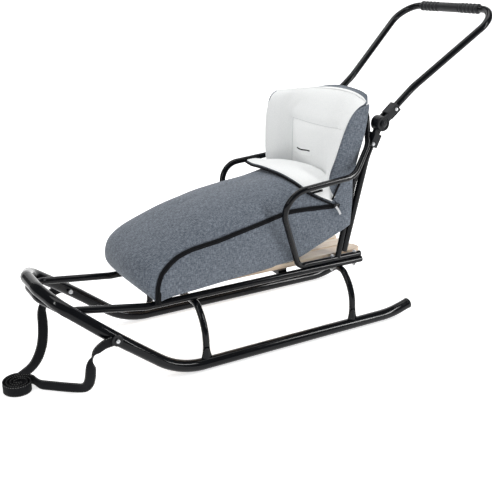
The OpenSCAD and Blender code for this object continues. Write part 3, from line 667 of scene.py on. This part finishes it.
# Lining of the back: columns from the right wing's edge (far) to the left's (near), each from foot to top
LINING = {
    "far_edge": [(-150, -130, 285), (-140, -138, 350), (-124, -146, 418), (-121, -149, 480),
                 (-123, -149, 542), (-129, -148, 576), (-141, -147, 600), (-160, -146, 614)],
    "far_wing": [(-165, -108, 278), (-150, -113, 350), (-141, -116, 418), (-139, -116, 480),
                 (-142, -116, 543), (-149, -115, 581), (-162, -113, 608), (-179, -110, 621)],
    "far_seam": [(-172, -82, 276), (-168, -81, 350), (-166, -80, 418), (-166, -80, 480), (-167, -81, 546),
                 (-171, -82, 583), (-180, -80, 612), (-194, -75, 627)],
    "middle": [(-172, 0, 275), (-164, 0, 350), (-159, 0, 418), (-158, 0, 480), (-165, 0, 546),
               (-180, 0, 586), (-198, 0, 617), (-219, 2, 635)],
    "near_seam": [(-174, 80, 276), (-170, 80, 350), (-166, 80, 418), (-166, 78, 480), (-169, 74, 546),
                  (-189, 76, 586), (-211, 77, 617), (-231, 77, 635)],
    "near_wing": [(-172, 106, 278), (-166, 108, 350), (-156, 110, 418), (-164, 111, 480),
                  (-181, 111, 546), (-205, 111, 584), (-228, 109, 610), (-248, 106, 625)],
    "near_edge": [(-172, 126, 285), (-165, 128, 350), (-145, 131, 418), (-163, 136, 480),
                  (-187, 138, 546), (-207, 138, 581), (-233, 136, 601), (-262, 132, 606)],
}
# Rear panel of the back: columns from near to far
REAR = [
    [(-214, 128, 285), (-216, 131, 350), (-214, 132, 418), (-234, 131, 480), (-254, 129, 546),
     (-261, 127, 580), (-269, 123, 606), (-273, 116, 626)],
    [(-222, 70, 280), (-224, 70, 350), (-226, 72, 418), (-240, 72, 480), (-258, 72, 546), (-266, 75, 586),
     (-274, 80, 618), (-272, 80, 635)],
    [(-224, 0, 280), (-226, 0, 350), (-228, 0, 418), (-240, 0, 480), (-256, 0, 546), (-264, 0, 586),
     (-269, 0, 621), (-267, 0, 639)],
    [(-222, -70, 280), (-224, -70, 350), (-226, -72, 418), (-238, -72, 480), (-249, -72, 546),
     (-253, -74, 586), (-253, -75, 610), (-249, -76, 626)],
    [(-214, -128, 285), (-216, -131, 350), (-214, -133, 418), (-229, -133, 480), (-239, -132, 546),
     (-242, -132, 580), (-236, -133, 594), (-224, -135, 602)],
]
ROW_STEPS = [6, 6, 6, 7, 5, 4, 4]
WING_COLS, PANEL_COLS = 14, 20
# Sewn lines of the lining: the control row of the top line, how many columns it runs on past the near line,
# and every how many rows the near line is held
TOP_LINE, TOP_RUN, NEAR_TACKS = 4, 9, 3
FAR_DEPTH, NEAR_DEPTH, TOP_DEPTH = 10.0, 2.0, 7.0
# Where the ridge of the top and bottom lies between lining and rear
RIDGE_AT = 0.22
# For the weave: the row whose lengths stand for all rows, and the height of a row
WEAVE_ROW, ROW_HEIGHT = 20, 9.5


def back_loop():
    """Closed rows round the back cushion, and how many points of each are the lining.

    The rear has as many points as the lining, so that the caps are quads.
    """
    steps = 24
    spans = ((0, 2, WING_COLS), (2, 4, PANEL_COLS), (4, 6, WING_COLS))
    columns = rows_between(np.array(list(LINING.values()), float).transpose(1, 0, 2), ROW_STEPS)
    rear = rows_between(np.array(REAR, float).transpose(1, 0, 2), ROW_STEPS)
    rows = []
    for c, r in zip(columns, rear):
        curve = through(c, steps)
        front = [even(curve[a * steps:b * steps + 1], n + 1)[:-1] for a, b, n in spans]
        front = np.vstack(front + [c[-1:]])
        side_in = c[-1] * 0.5 + r[0] * 0.5
        side_out = r[-1] * 0.5 + c[0] * 0.5
        behind = np.vstack([c[-1:], side_in[None], through(r, 16), side_out[None], c[:1]])
        rows.append(np.vstack([front, even(behind, len(front))[1:-1]]))
    return np.array(rows), len(front)


def back_cushion():
    """The back cushion, and the points that are held while it swells."""
    loop, front = back_loop()
    n_rows, n_cols = loop.shape[:2]
    far, near, top = WING_COLS, WING_COLS + PANEL_COLS, sum(ROW_STEPS[:TOP_LINE])
    far_seam = [i * n_cols + far for i in range(top + 1)]
    near_seam = [i * n_cols + near for i in range(0, top + 1, NEAR_TACKS)]
    top_seam = [top * n_cols + c for c in range(far, near + TOP_RUN)]
    flat = loop.reshape(-1, 3)
    for line, depth in ((far_seam, FAR_DEPTH), (near_seam, NEAR_DEPTH), (top_seam[1:], TOP_DEPTH)):
        flat[line, 0] -= depth
    faces = [f[::-1] for f in quads(n_rows, n_cols, close=True)]
    index = [0 if (k % n_cols) < front - 1 else 1 for k in range(len(faces))]
    points = [tuple(p) for p in flat]
    for row, turn, lift in ((0, 1, 0), (n_rows - 1, -1, 1.0)):
        b = row * n_cols
        lining = [b + i for i in range(front)]
        behind = [b] + [b + n_cols - 1 - i for i in range(n_cols - front)] + [b + front - 1]
        ridge = [lining[0]]
        for i in range(1, front - 1):
            ridge.append(len(points))
            between = (1 - RIDGE_AT) * flat[lining[i]] + RIDGE_AT * flat[behind[i]]
            points.append(tuple(between + np.array([0, 0, lift])))
        ridge.append(lining[-1])
        for a, c, number in ((lining, ridge, 0), (ridge, behind, 1)):
            for i in range(front - 1):
                q = [a[i], a[i + 1], c[i + 1], c[i]]
                q = [v for k, v in enumerate(q) if v != q[k - 1]]
                if len(set(q)) > 2:
                    faces.append(tuple(q[::turn]))
                    index.append(number)
    across = np.r_[0, np.cumsum(np.linalg.norm(np.diff(loop[WEAVE_ROW], axis=0), axis=1))]
    upward = np.arange(n_rows)[:, None] * ROW_HEIGHT
    uv = np.stack(np.broadcast_arrays(across[None, :], upward), 2).reshape(-1, 2)
    uv = np.vstack([uv, np.array(points)[len(uv):, [1, 0]]])
    obj = piece("muff_back_soft", points, faces, [FLEECE, CLOTH], index, uv)
    held = [i * n_cols + c for i in range(n_rows) for c in [*range(front - 1, n_cols), 0]]
    held += range(n_rows * n_cols, len(points))
    return obj, sorted(set(held + far_seam + near_seam + top_seam))


back, back_held = back_cushion()
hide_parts("muff_back")
puff(back, back_held, pressure=5.0, cap=9.0)
subdivide(back)

# Turned-down collar: its fold at the mouth and its hem on the cover, from the far side to the near side
COLLAR_FOLD = [(-106, -130, 424), (-117, -97, 432), (-133, -50, 438), (-146, 0, 440),
               (-157, 45, 438), (-163, 84, 430), (-166, 112, 415), (-168, 129, 392),
               (-169, 137, 368)]
COLLAR_HEM = [(-52, -132, 431), (-48, -96, 430), (-45, -48, 434), (-48, 0, 434), (-55, 48, 430),
              (-68, 94, 417), (-88, 122, 397), (-114, 134, 381), (-154, 139, 361)]
COLLAR_T, COLLAR_CROWN = 8.0, 5.0
# The black binding's place below the hem's upper face, and its radius: it is partly the hem's binding and
# partly painted shade, the dark line under the hem
HEM_SHIFT, HEM_R = np.array([1.0, 0, 1.2 - COLLAR_T]), 2.7
fold, hem = spline(COLLAR_FOLD, 56), spline(COLLAR_HEM, 56)
t = np.linspace(0, 1, 14)[None, :, None]
collar_grid = fold[:, None] * (1 - t) + hem[:, None] * t
collar_grid[..., 2] += COLLAR_CROWN * np.sin(math.pi * t[..., 0])
collar_grid = ripple(collar_grid, size=60.0, height=2.5, seed=6.4)
collar = shell("muff_collar_soft", collar_grid[:, ::-1], COLLAR_T, [FLEECE, CLOTH, CLOTH],
               rim_of=lambda i, j: 2 if j == 0 else 0)
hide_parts("muff_collar")
puff(collar, border(*collar_grid.shape[:2]), pressure=3.0, cap=3.0)
subdivide(collar)
# Black binding below the hem: partly real binding, partly painted shade under the hem
tube("muff_collar_binding_and_shade", even(collar_grid[:, -1] + HEM_SHIFT, 90), HEM_R, BINDING)

# Pad on the seat inside the bag: its ends, its part of the bag's width, its thickness, crown and quilting
BASE_FRONT, BASE_REAR, BASE_WIDTH = 350, -196, 0.93
BASE_T, BASE_CROWN, BASE_QUILT = 12.0, 16, 1.5
# How far its upper edge lies above the slats. Behind BASE_BEND it rises by BASE_RISE
BASE_GAP, BASE_BEND, BASE_RISE = 1.2, -60, 76
# Beyond this part of its half width it stays within BASE_RIM of the side panels' lower edge
BASE_RIM_FROM, BASE_RIM = 0.82, 14


def base_grid(along=60, across=28):
    x = np.linspace(BASE_FRONT, BASE_REAR, along)
    low = low_edge(x, 1)
    v = np.linspace(-1, 1, across)[None]
    inside = 1 - np.abs(v) ** 6
    rise = BASE_RISE * np.clip((BASE_BEND - x) / (BASE_BEND - BASE_REAR), 0, 1)[:, None]
    z = SEAT_TOP + BASE_GAP + rise + BASE_CROWN * inside + BASE_QUILT * np.cos(v * 9) * inside
    z = np.where(np.abs(v) > BASE_RIM_FROM, np.minimum(z, low[:, 2:3] + BASE_RIM), z)
    return np.stack(np.broadcast_arrays(x[:, None], low[:, 1:2] * v * BASE_WIDTH, z), 2)


base = shell("muff_base_soft", base_grid()[:, ::-1], BASE_T, [FLEECE, CLOTH, CLOTH])
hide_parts("muff_base")
subdivide(base)


# Strap: one flat ribbon, with a left run, a roll of two arms that turn inwards together, and a right run

ROLL = np.array((669.0, 46.0))
ROLL_R = 40.4
ROLL_PITCH = 17.0
# Height of the ribbon's middle where it stands on edge on the ground
STRAP_FOOT = STRAP_W / 2 + 0.5
# Points and width directions, from the bolts to the roll
LEFT_RUN = [
    ((482, 182.8, 138), (0.3, 0, 1)), ((502, 182, 134), (0.5, 0.1, 1)),
    ((520, 181, 122), (0.75, 0.4, 0.9)), ((530, 178, 104), (0.2, 0.95, 0.35)),
    ((534, 174, 80), (-0.75, 0.7, -0.05)), ((535, 168, 56), (-1, 0.6, 0)),
    ((537, 158, 34), (-0.9, 0.4, -0.5)), ((544, 146, 20), (-0.5, 0.2, -1)),
    ((556, 130, 14.5), (-0.15, 0.1, -1)), ((580, 108, STRAP_FOOT), (0, 0, -1)),
    ((606, 85, STRAP_FOOT), (0, 0, -1)), ((623, 69, STRAP_FOOT), (0, 0, -1)),
]
RIGHT_RUN = [
    ((482, -182.8, 138), (0.3, 0, 1)), ((506, -181, 134), (0.5, 0, 1)),
    ((528, -172, 124), (0.8, 0.3, 1)), ((545, -152, 112), (0.9, 0.5, 0.8)),
    ((556, -126, 104), (1, 0.3, 0.3)), ((564, -96, 92), (1, 0, 0)), ((572, -72, 74), (1, 0, 0)),
    ((582, -54, 52), (1, -0.1, 0.2)), ((596, -40, 32), (0.8, -0.2, 0.6)),
    ((612, -27, 20), (0.4, -0.2, 1)), ((630, -14, 14.5), (0.1, -0.1, 1)),
    ((646, -4.5, STRAP_FOOT), (0, 0, 1)),
]


def arm(first, last, drop):
    """One arm of the roll, in degrees: it draws in by drop over the first 60, and by the pitch per turn."""
    out = []
    for a in np.arange(first, last, 15.0):
        r = ROLL_R - ROLL_PITCH * (a - first) / 360 - drop * min(1, (a - first) / 60)
        q = math.radians(a)
        out.append(((ROLL[0] + r * math.cos(q), ROLL[1] + r * math.sin(q), STRAP_FOOT), (0, 0, 1)))
    return out


def ribbon(route, spacing=3.0, turn_weight=5):
    """A route of points and width directions as even points, width directions and thickness directions.

    Where the ribbon turns about its own length the points lie closer, by turn_weight.
    """
    line = through([p for p, w in route], 8)
    across = unit(through([unit(np.array(w, float)) for p, w in route], 8))
    count = int(np.linalg.norm(np.diff(line, axis=0), axis=1).sum() / spacing)
    both = even(np.hstack([line, across * turn_weight]), count)
    line, across = both[:, :3], unit(both[:, 3:])
    along = unit(np.gradient(line, axis=0))
    across = unit(across - (across * along).sum(1, keepdims=True) * along)
    return line, across, np.cross(along, across)


left_arm = arm(172, 612, 4.4)
right_arm = arm(256, 790, 0)
HEART = ((9, -8), (10, 0), (4, 5), (-4, 5), (-4, 11))
heart = [((ROLL[0] + x, ROLL[1] + y, STRAP_FOOT), (0, 0, 1)) for x, y in HEART]
# The left run has half a twist, so its width points the other way from there on
after_twist = left_arm + heart + right_arm[::-1] + RIGHT_RUN[::-1]
route = LEFT_RUN + [(p, (-w[0], -w[1], -w[2])) for p, w in after_twist]
path, wide, thick = ribbon(route)
# Section of the webbing, across and through, with rounded edges
EDGE, FACE = STRAP_W / 2, STRAP_W / 2 - 0.8
PROFILE = [(-EDGE, -0.6), (-FACE, -1), (0, -1), (FACE, -1), (EDGE, -0.6),
           (EDGE, 0.6), (FACE, 1), (0, 1), (-FACE, 1), (-EDGE, 0.6)]
rings = np.array([[p + w * a + k * b for a, b in PROFILE] for p, w, k in zip(path, wide, thick)])
run = np.r_[0, np.cumsum(np.linalg.norm(np.diff(path, axis=0), axis=1))]
uv = np.array([[(s, a + STRAP_W / 2) for a, b in PROFILE] for s in run]).reshape(-1, 2)
strap = skin("tow_strap", rings, WEBBING, True, uv)
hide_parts("strap_left_run", "strap_right_run", "strap_roll")


# Zips

# Section of a tape, across and up
BAND = [(-0.5, 0), (-0.5, 0.7), (-0.42, 1), (0.42, 1), (0.5, 0.7), (0.5, 0)]
# The zip's tape spreads towards the toe: heights and widths there
ZIP_SPREAD = ((179, 245, 300), (16.0, 14.0, 12.0))
# The right zip begins some points above the toe's corner
ZIP_POINTS, ZIP_START = 170, {1: 0, -1: 5}
COIL_POINTS, COIL_OUT, COIL_R, COIL_BEAD = 420, 2.8, 1.5, 0.35


def flat_band(name, line, out, width, thick, material, lift=0):
    """A tape along a line on a surface with outward directions out. Its width may differ along the line."""
    line = np.asarray(line, float)
    widths = np.broadcast_to(np.asarray(width, float), (len(line),))
    out = unit(np.broadcast_to(np.asarray(out, float), line.shape))
    along = unit(np.gradient(line, axis=0))
    across = unit(np.cross(along, out))
    out = np.cross(across, along)
    rings = np.array([[p + w * u * wide + o * (lift + v * thick) for u, v in BAND]
                      for p, w, o, wide in zip(line, across, out, widths)])
    return skin(name, rings, material)


for side, word in SIDES:
    line = zip_line(side, ZIP_POINTS)[ZIP_START[side]:]
    out = np.array([0, side, 0.0])
    widths = np.interp(line[:, 2], *ZIP_SPREAD)
    flat_band(f"zip_tape_{word}", line, out, widths, thick=1.5, material=BINDING, lift=1.2)
    beads = COIL_R + COIL_BEAD * np.cos(np.arange(COIL_POINTS) * math.pi)
    tube(f"zip_coil_{word}", even(line, COIL_POINTS) + out * COIL_OUT, beads, BINDING, 8)


# Hardware


def turned(name, at, axis, profile, material, body="sled", sides=24):
    """A piece turned about an axis.

    Each row of its profile is a radius and a height, and a third value makes that ring hexagonal.
    """
    axis = unit(np.array(axis, float))
    beside = [0.3, 0.9, 0.31] if abs(axis[1]) < 0.8 else [0.9, 0.1, 0.3]
    a = unit(np.cross(axis, beside))
    b = np.cross(axis, a)
    ang = np.linspace(0, 2 * math.pi, sides, endpoint=False)
    rings = []
    for r, h, *hexed in profile:
        rr = np.full(sides, float(r))
        if hexed:
            rr = r * math.cos(math.pi / 6) / np.cos(np.mod(ang, math.pi / 3) - math.pi / 6)
        spokes = np.cos(ang)[:, None] * a + np.sin(ang)[:, None] * b
        rings.append(np.array(at) + axis * h + rr[:, None] * spokes)
    return skin(name, np.array(rings), material, True, body=body)


def node_box(name):
    """A CAD node's lowest and highest corners in datum millimetres."""
    return (np.array(c) / MM - [DATUM, 0, 0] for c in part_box(name))


WASHER = [(5.6, 0), (5.6, 0.9), (5.2, 1.3)]
HEX_HEAD = WASHER + [(4.5, 1.3, 6), (4.5, 3.8, 6), (3.8, 4.5), (2.6, 4.7), (0.2, 4.7)]
HEX_NUT = WASHER + [(4.7, 1.3, 6), (4.7, 4.6, 6), (3.9, 5.2), (2.5, 5.2), (2.5, 7.4), (2.0, 7.9), (0.2, 7.9)]
DOME = [(5.0, -0.5), (5.0, 0.6), (4.6, 1.8), (3.6, 2.7), (2.0, 3.2), (0.2, 3.3)]
HINGE_CAP = [(8.8, 0), (8.8, 0.8), (7.8, 2.0), (5.6, 3.2), (3.0, 3.9), (0.2, 4.1)]
HINGE_RIM = [(19.6, -0.2), (19.6, 1.2), (18.6, 2.2), (16.6, 2.2), (15.8, 1.2), (15.8, -0.2)]
RUNNER_CAP = [(15.3, -3), (15.3, 1.5), (14.4, 3.6), (11.5, 5.6), (6.5, 6.8), (0.3, 7.2)]
# Bolts through the armrest's feet and the seat rail
RAIL_BOLT_X, RAIL_Y, HEAD_Z, NUT_Z = (-176, -251), 117.0, 197.7, 164.4
# Rivets of hinge base and fork, x and z, and the outer faces that rivets, rims and caps sit on
BASE_RIVET, FORK_RIVET = (-277, 501.5), (-349, 586.5)
RIVET_Y, RIM_Y, CAP_Y = 144.5, 145.5, 148.7
# How far a tow screw and its nut are let in, and the rear end and direction of a runner
TOW_SUNK = 0.5
RUNNER_END, RUNNER_WAY = (-404, 175, 31), (-61, 0, 16.0)
for side, word in SIDES:
    outward = (0, side, 0)
    for k, x in enumerate(RAIL_BOLT_X):
        turned(f"rail_bolt_{word}_{k}", (x, side * RAIL_Y, HEAD_Z), (0, 0, 1), HEX_HEAD, ZINC)
        turned(f"rail_nut_{word}_{k}", (x, side * RAIL_Y, NUT_Z), (0, 0, -1), HEX_NUT, ZINC)
    at = (BASE_RIVET[0], side * RIVET_Y, BASE_RIVET[1])
    turned(f"hinge_rivet_{word}", at, outward, DOME, ZINC)
    at = (FORK_RIVET[0], side * RIVET_Y, FORK_RIVET[1])
    turned(f"fork_rivet_{word}", at, outward, DOME, ZINC, "push_handle")
    at = (HINGE[0], side * CAP_Y, HINGE[2])
    turned(f"hinge_cap_{word}", at, outward, HINGE_CAP, HINGE_BLACK)
    at = (HINGE[0], side * RIM_Y, HINGE[2])
    turned(f"hinge_rim_{word}", at, outward, HINGE_RIM, HINGE_BLACK, "push_handle", sides=40)
    low, high = node_box(f"tow_bolt_{word}")
    middle = (low + high) / 2
    outer, inner = (high[1], low[1]) if side > 0 else (low[1], high[1])
    at = (middle[0], outer - side * TOW_SUNK, middle[2])
    turned(f"tow_screw_{word}", at, outward, DOME, ZINC)
    at = (middle[0], inner + side * TOW_SUNK, middle[2])
    turned(f"tow_nut_{word}", at, (0, -side, 0), HEX_NUT, ZINC)
    at = (RUNNER_END[0], side * RUNNER_END[1], RUNNER_END[2])
    turned(f"runner_cap_{word}", at, RUNNER_WAY, RUNNER_CAP, HINGE_BLACK, sides=32)

# Grip: ribs at both ends, smooth in the middle
RIBS, RIB_FOOT_R, RIB_HIGH, RIB_STEEP, RIB_ROUND = 5, 10.2, 3.6, 1.5, 0.8
SMOOTH_PART, SMOOTH_R = 0.36, 13.0
END_R, END_START_R, END_SLOPE = 9.7, 10.4, 0.9
low, high = node_box("handle_grip")
GRIP_HALF = (high[1] - low[1]) / 2
GRIP_SMOOTH = SMOOTH_PART * GRIP_HALF
RIB_PITCH = (GRIP_HALF - GRIP_SMOOTH) / RIBS
profile = [(END_R, -GRIP_HALF)]
for y in np.arange(-GRIP_HALF, GRIP_HALF + 0.1, 1.0):
    if abs(y) < GRIP_SMOOTH:
        r = SMOOTH_R
    else:
        phase = ((abs(y) - GRIP_SMOOTH) / RIB_PITCH) % 1.0
        r = RIB_FOOT_R + RIB_HIGH * min(1.0, (1 - abs(2 * phase - 1)) * RIB_STEEP) ** RIB_ROUND
    profile.append((min(r, END_START_R + END_SLOPE * (GRIP_HALF - abs(y))), y))
profile.append((END_R, GRIP_HALF))
grip = turned("handle_grip_ribbed", (low + high) / 2, (0, 1, 0), profile, RUBBER, "push_handle", 40)
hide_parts("handle_grip")

# Flattened feet of the leg arches on the runners: height above the runner's middle, half length, half depth
ARCH_FOOT = ((46, 8.7, 8.7), (36, 9.4, 8.5), (27, 11.0, 7.8),
             (20, 13.2, 7.0), (14, 14.6, 6.4), (9, 15.0, 6.0))
ARCH_X = (("front", 240), ("rear", -208))
RUNNER_Z, FOOT_Y, FOOT_SIDES = 15.0, 174.4, 28
# Above LEAN_FROM the foot leans inwards with its leg, by LEAN in 100
LEAN_FROM, LEAN = 14, 5
ang = np.linspace(0, 2 * math.pi, FOOT_SIDES, endpoint=False)
for word, x in ARCH_X:
    for side, hand in SIDES:
        rings = []
        for h, half, deep in ARCH_FOOT:
            y = side * (FOOT_Y - LEAN * max(0, h - LEAN_FROM) / 100)
            z = np.full(FOOT_SIDES, RUNNER_Z + h)
            rings.append(np.stack([x + half * np.cos(ang), y + deep * np.sin(ang), z], 1))
        skin(f"arch_foot_{word}_{hand}", np.array(rings), PAINT)


# Details of the lining

# The lining's surface is looked for from this x rearwards
LOOK_FROM = -60
# Belt slit: its ends, height, waviness, and the corners of the stitched frame round it as y and z
SLIT_Y, SLIT_Z, SLIT_WAVE = (-36, 25), 472, 1.5
SLIT_FRAME = [(-54, 486), (34, 486), (34, 459), (-54, 459), (-54, 486)]
# Sewn lines of the middle panel: the far line's y and foot, the top line's height and near end
SEAM_Y, SEAM_FOOT, SEAM_Z, SEAM_END = -81, 300, 546, 126


def on_lining(yz):
    """Points of the lining at the given y and z, found by looking rearwards from in front of it."""
    lining = back.evaluated_get(bpy.context.evaluated_depsgraph_get())
    to_local = back.matrix_world.inverted()
    rearwards = (to_local.to_3x3() @ Vector((-1, 0, 0))).normalized()
    found = []
    for q in place([(LOOK_FROM, y, z) for y, z in yz]):
        hit, at = lining.ray_cast(to_local @ Vector(q), rearwards)[:2]
        found.append(np.array(back.matrix_world @ at if hit else q))
    return np.array(found) / MM - [DATUM, 0, 0]


bpy.context.view_layer.update()
slit = on_lining([(y, SLIT_Z + SLIT_WAVE * math.sin(y / 12)) for y in np.linspace(*SLIT_Y, 26)])
flat_band("belt_slit", slit, (1, 0, 0.1), width=3.4, thick=0.4, material=BINDING, lift=0.1)
slit_frame = np.vstack([np.linspace(a, b, 18)[:-1] for a, b in zip(SLIT_FRAME, SLIT_FRAME[1:])])
tube("belt_slit_stitch", on_lining(slit_frame), radius=0.9, material=FLEECE, sides=6)
seams = {
    "far": [(SEAM_Y, z) for z in np.linspace(SEAM_FOOT, SEAM_Z, 60)],
    "top": [(y, SEAM_Z) for y in np.linspace(SEAM_Y, SEAM_END, 56)],
}
# Grey cords along the far and top sewn lines: painted shade of the seams' creases
for word, yz in seams.items():
    tube(f"seam_shade_line_{word}", on_lining(yz), radius=0.8, material=SEAM_SHADE, sides=6)

# Zip sliders with pull tabs, the ties of the collar, and a black band on the collar's edge beside the
# armrest, as written for the left side
SLIDER = [(-158, 138.5, 349), (-164, 138.5, 348.4), (-171, 138.5, 347.4), (-176, 138.5, 346)]
PULL_TAB = [(-164, 141.5, 347), (-169, 143, 340), (-175, 142.7, 331), (-179, 141.9, 324)]
TIE = [(-152, 140, 367), (-157, 142, 380), (-163, 142.4, 392), (-170, 141.5, 403), (-175, 139.5, 410)]
COLLAR_DARK_BAND = [(-84, 130.5, 390), (-98, 132, 392), (-112, 132.5, 393.5), (-126, 131, 394)]
TIE_W, TIE_T = 6.0, 2.2
for side, word in SIDES:
    mirror = np.array([1, side, 1])
    out = (0, side, 0)
    flat_band(f"zip_slider_{word}", SLIDER * mirror, out, width=11, thick=3.4, material=HINGE_BLACK)
    flat_band(f"zip_tab_{word}", spline(PULL_TAB * mirror, 14), out, width=6.0, thick=1.4, material=TAB)
    flat_band(f"collar_tie_{word}", spline(TIE * mirror, 24), out, TIE_W, TIE_T, BINDING)
    flat_band(f"collar_dark_band_{word}", spline(COLLAR_DARK_BAND * mirror, 20), (0, side, 0.3), TIE_W, TIE_T, BINDING)


# Studio, in metres

# The backdrop is a floor that bends up into a wall: near and far end of the floor, radius and first angle
# of the bend, heights on the wall, and half its width
FLOOR_NEAR, FLOOR_FAR, BEND_R, BEND_FIRST = 4.5, -2.6, 1.4, 0.08
WALL_Z, HALF_WIDTH = (2.6, 4.5), 5
bend = np.linspace(BEND_FIRST, math.pi / 2, 20)
wall = FLOOR_FAR - BEND_R
sweep_depth = np.r_[np.linspace(FLOOR_NEAR, FLOOR_FAR, 30), FLOOR_FAR - BEND_R * np.sin(bend), wall, wall]
sweep_rise = np.r_[np.zeros(30), BEND_R - BEND_R * np.cos(bend), WALL_Z]
ahead, aside = unit(np.array([EYE[0] - AIM[0], EYE[1] - AIM[1]]))
sweep_width = np.linspace(-HALF_WIDTH, HALF_WIDTH, 21)
sweep = np.array([[(d * ahead - w * aside, d * aside + w * ahead, z) for w in sweep_width]
                  for d, z in zip(sweep_depth, sweep_rise)])
backdrop = bpy.data.objects.new("backdrop", bpy.data.meshes.new("backdrop"))
backdrop.data.from_pydata([tuple(v) for v in sweep.reshape(-1, 3)], [], quads(*sweep.shape[:2]))
backdrop.data.polygons.foreach_set("use_smooth", np.full(len(backdrop.data.polygons), True))
bpy.context.scene.collection.objects.link(backdrop)
paper = specked("white_paper", 3, (0.90, 0.90, 0.90), (0.92, 0.92, 0.92), rough=0.8)
paper.set(Specular_IOR_Level=0.1, Emission_Color=(1, 1, 1, 1), Emission_Strength=0.62)
backdrop.data.materials.append(paper.mat)

world = bpy.data.worlds.new("studio")
world.use_nodes = True
world.node_tree.nodes["Background"].inputs["Color"].default_value = (1, 1, 1, 1)
world.node_tree.nodes["Background"].inputs["Strength"].default_value = 0.22
bpy.context.scene.world = world
bpy.context.scene.view_settings.view_transform = "Standard"


def area(name, at, aim, size, power):
    """A rectangular light at a point, turned towards another."""
    light = bpy.data.lights.new(name, "AREA")
    light.shape = "RECTANGLE"
    light.size, light.size_y = size
    light.energy = power
    obj = bpy.data.objects.new(name, light)
    bpy.context.scene.collection.objects.link(obj)
    obj.location = at
    obj.rotation_euler = (Vector(aim) - Vector(at)).to_track_quat("-Z", "Y").to_euler()


area("top_box", at=(0.0, -0.2, 2.4), aim=(0, 0, 0.2), size=(2.6, 1.2), power=26)
area("front_box", at=(2.2, 0.7, 1.7), aim=(0, 0, 0.4), size=(0.16, 1.7), power=16)
area("side_box", at=(-1.5, 1.8, 1.3), aim=(-0.1, 0, 0.35), size=(0.14, 1.7), power=23)
area("wall_box", at=(0.4, -1.9, 2.6), aim=(-1.6, -3.6, 1.0), size=(3.0, 0.6), power=40)
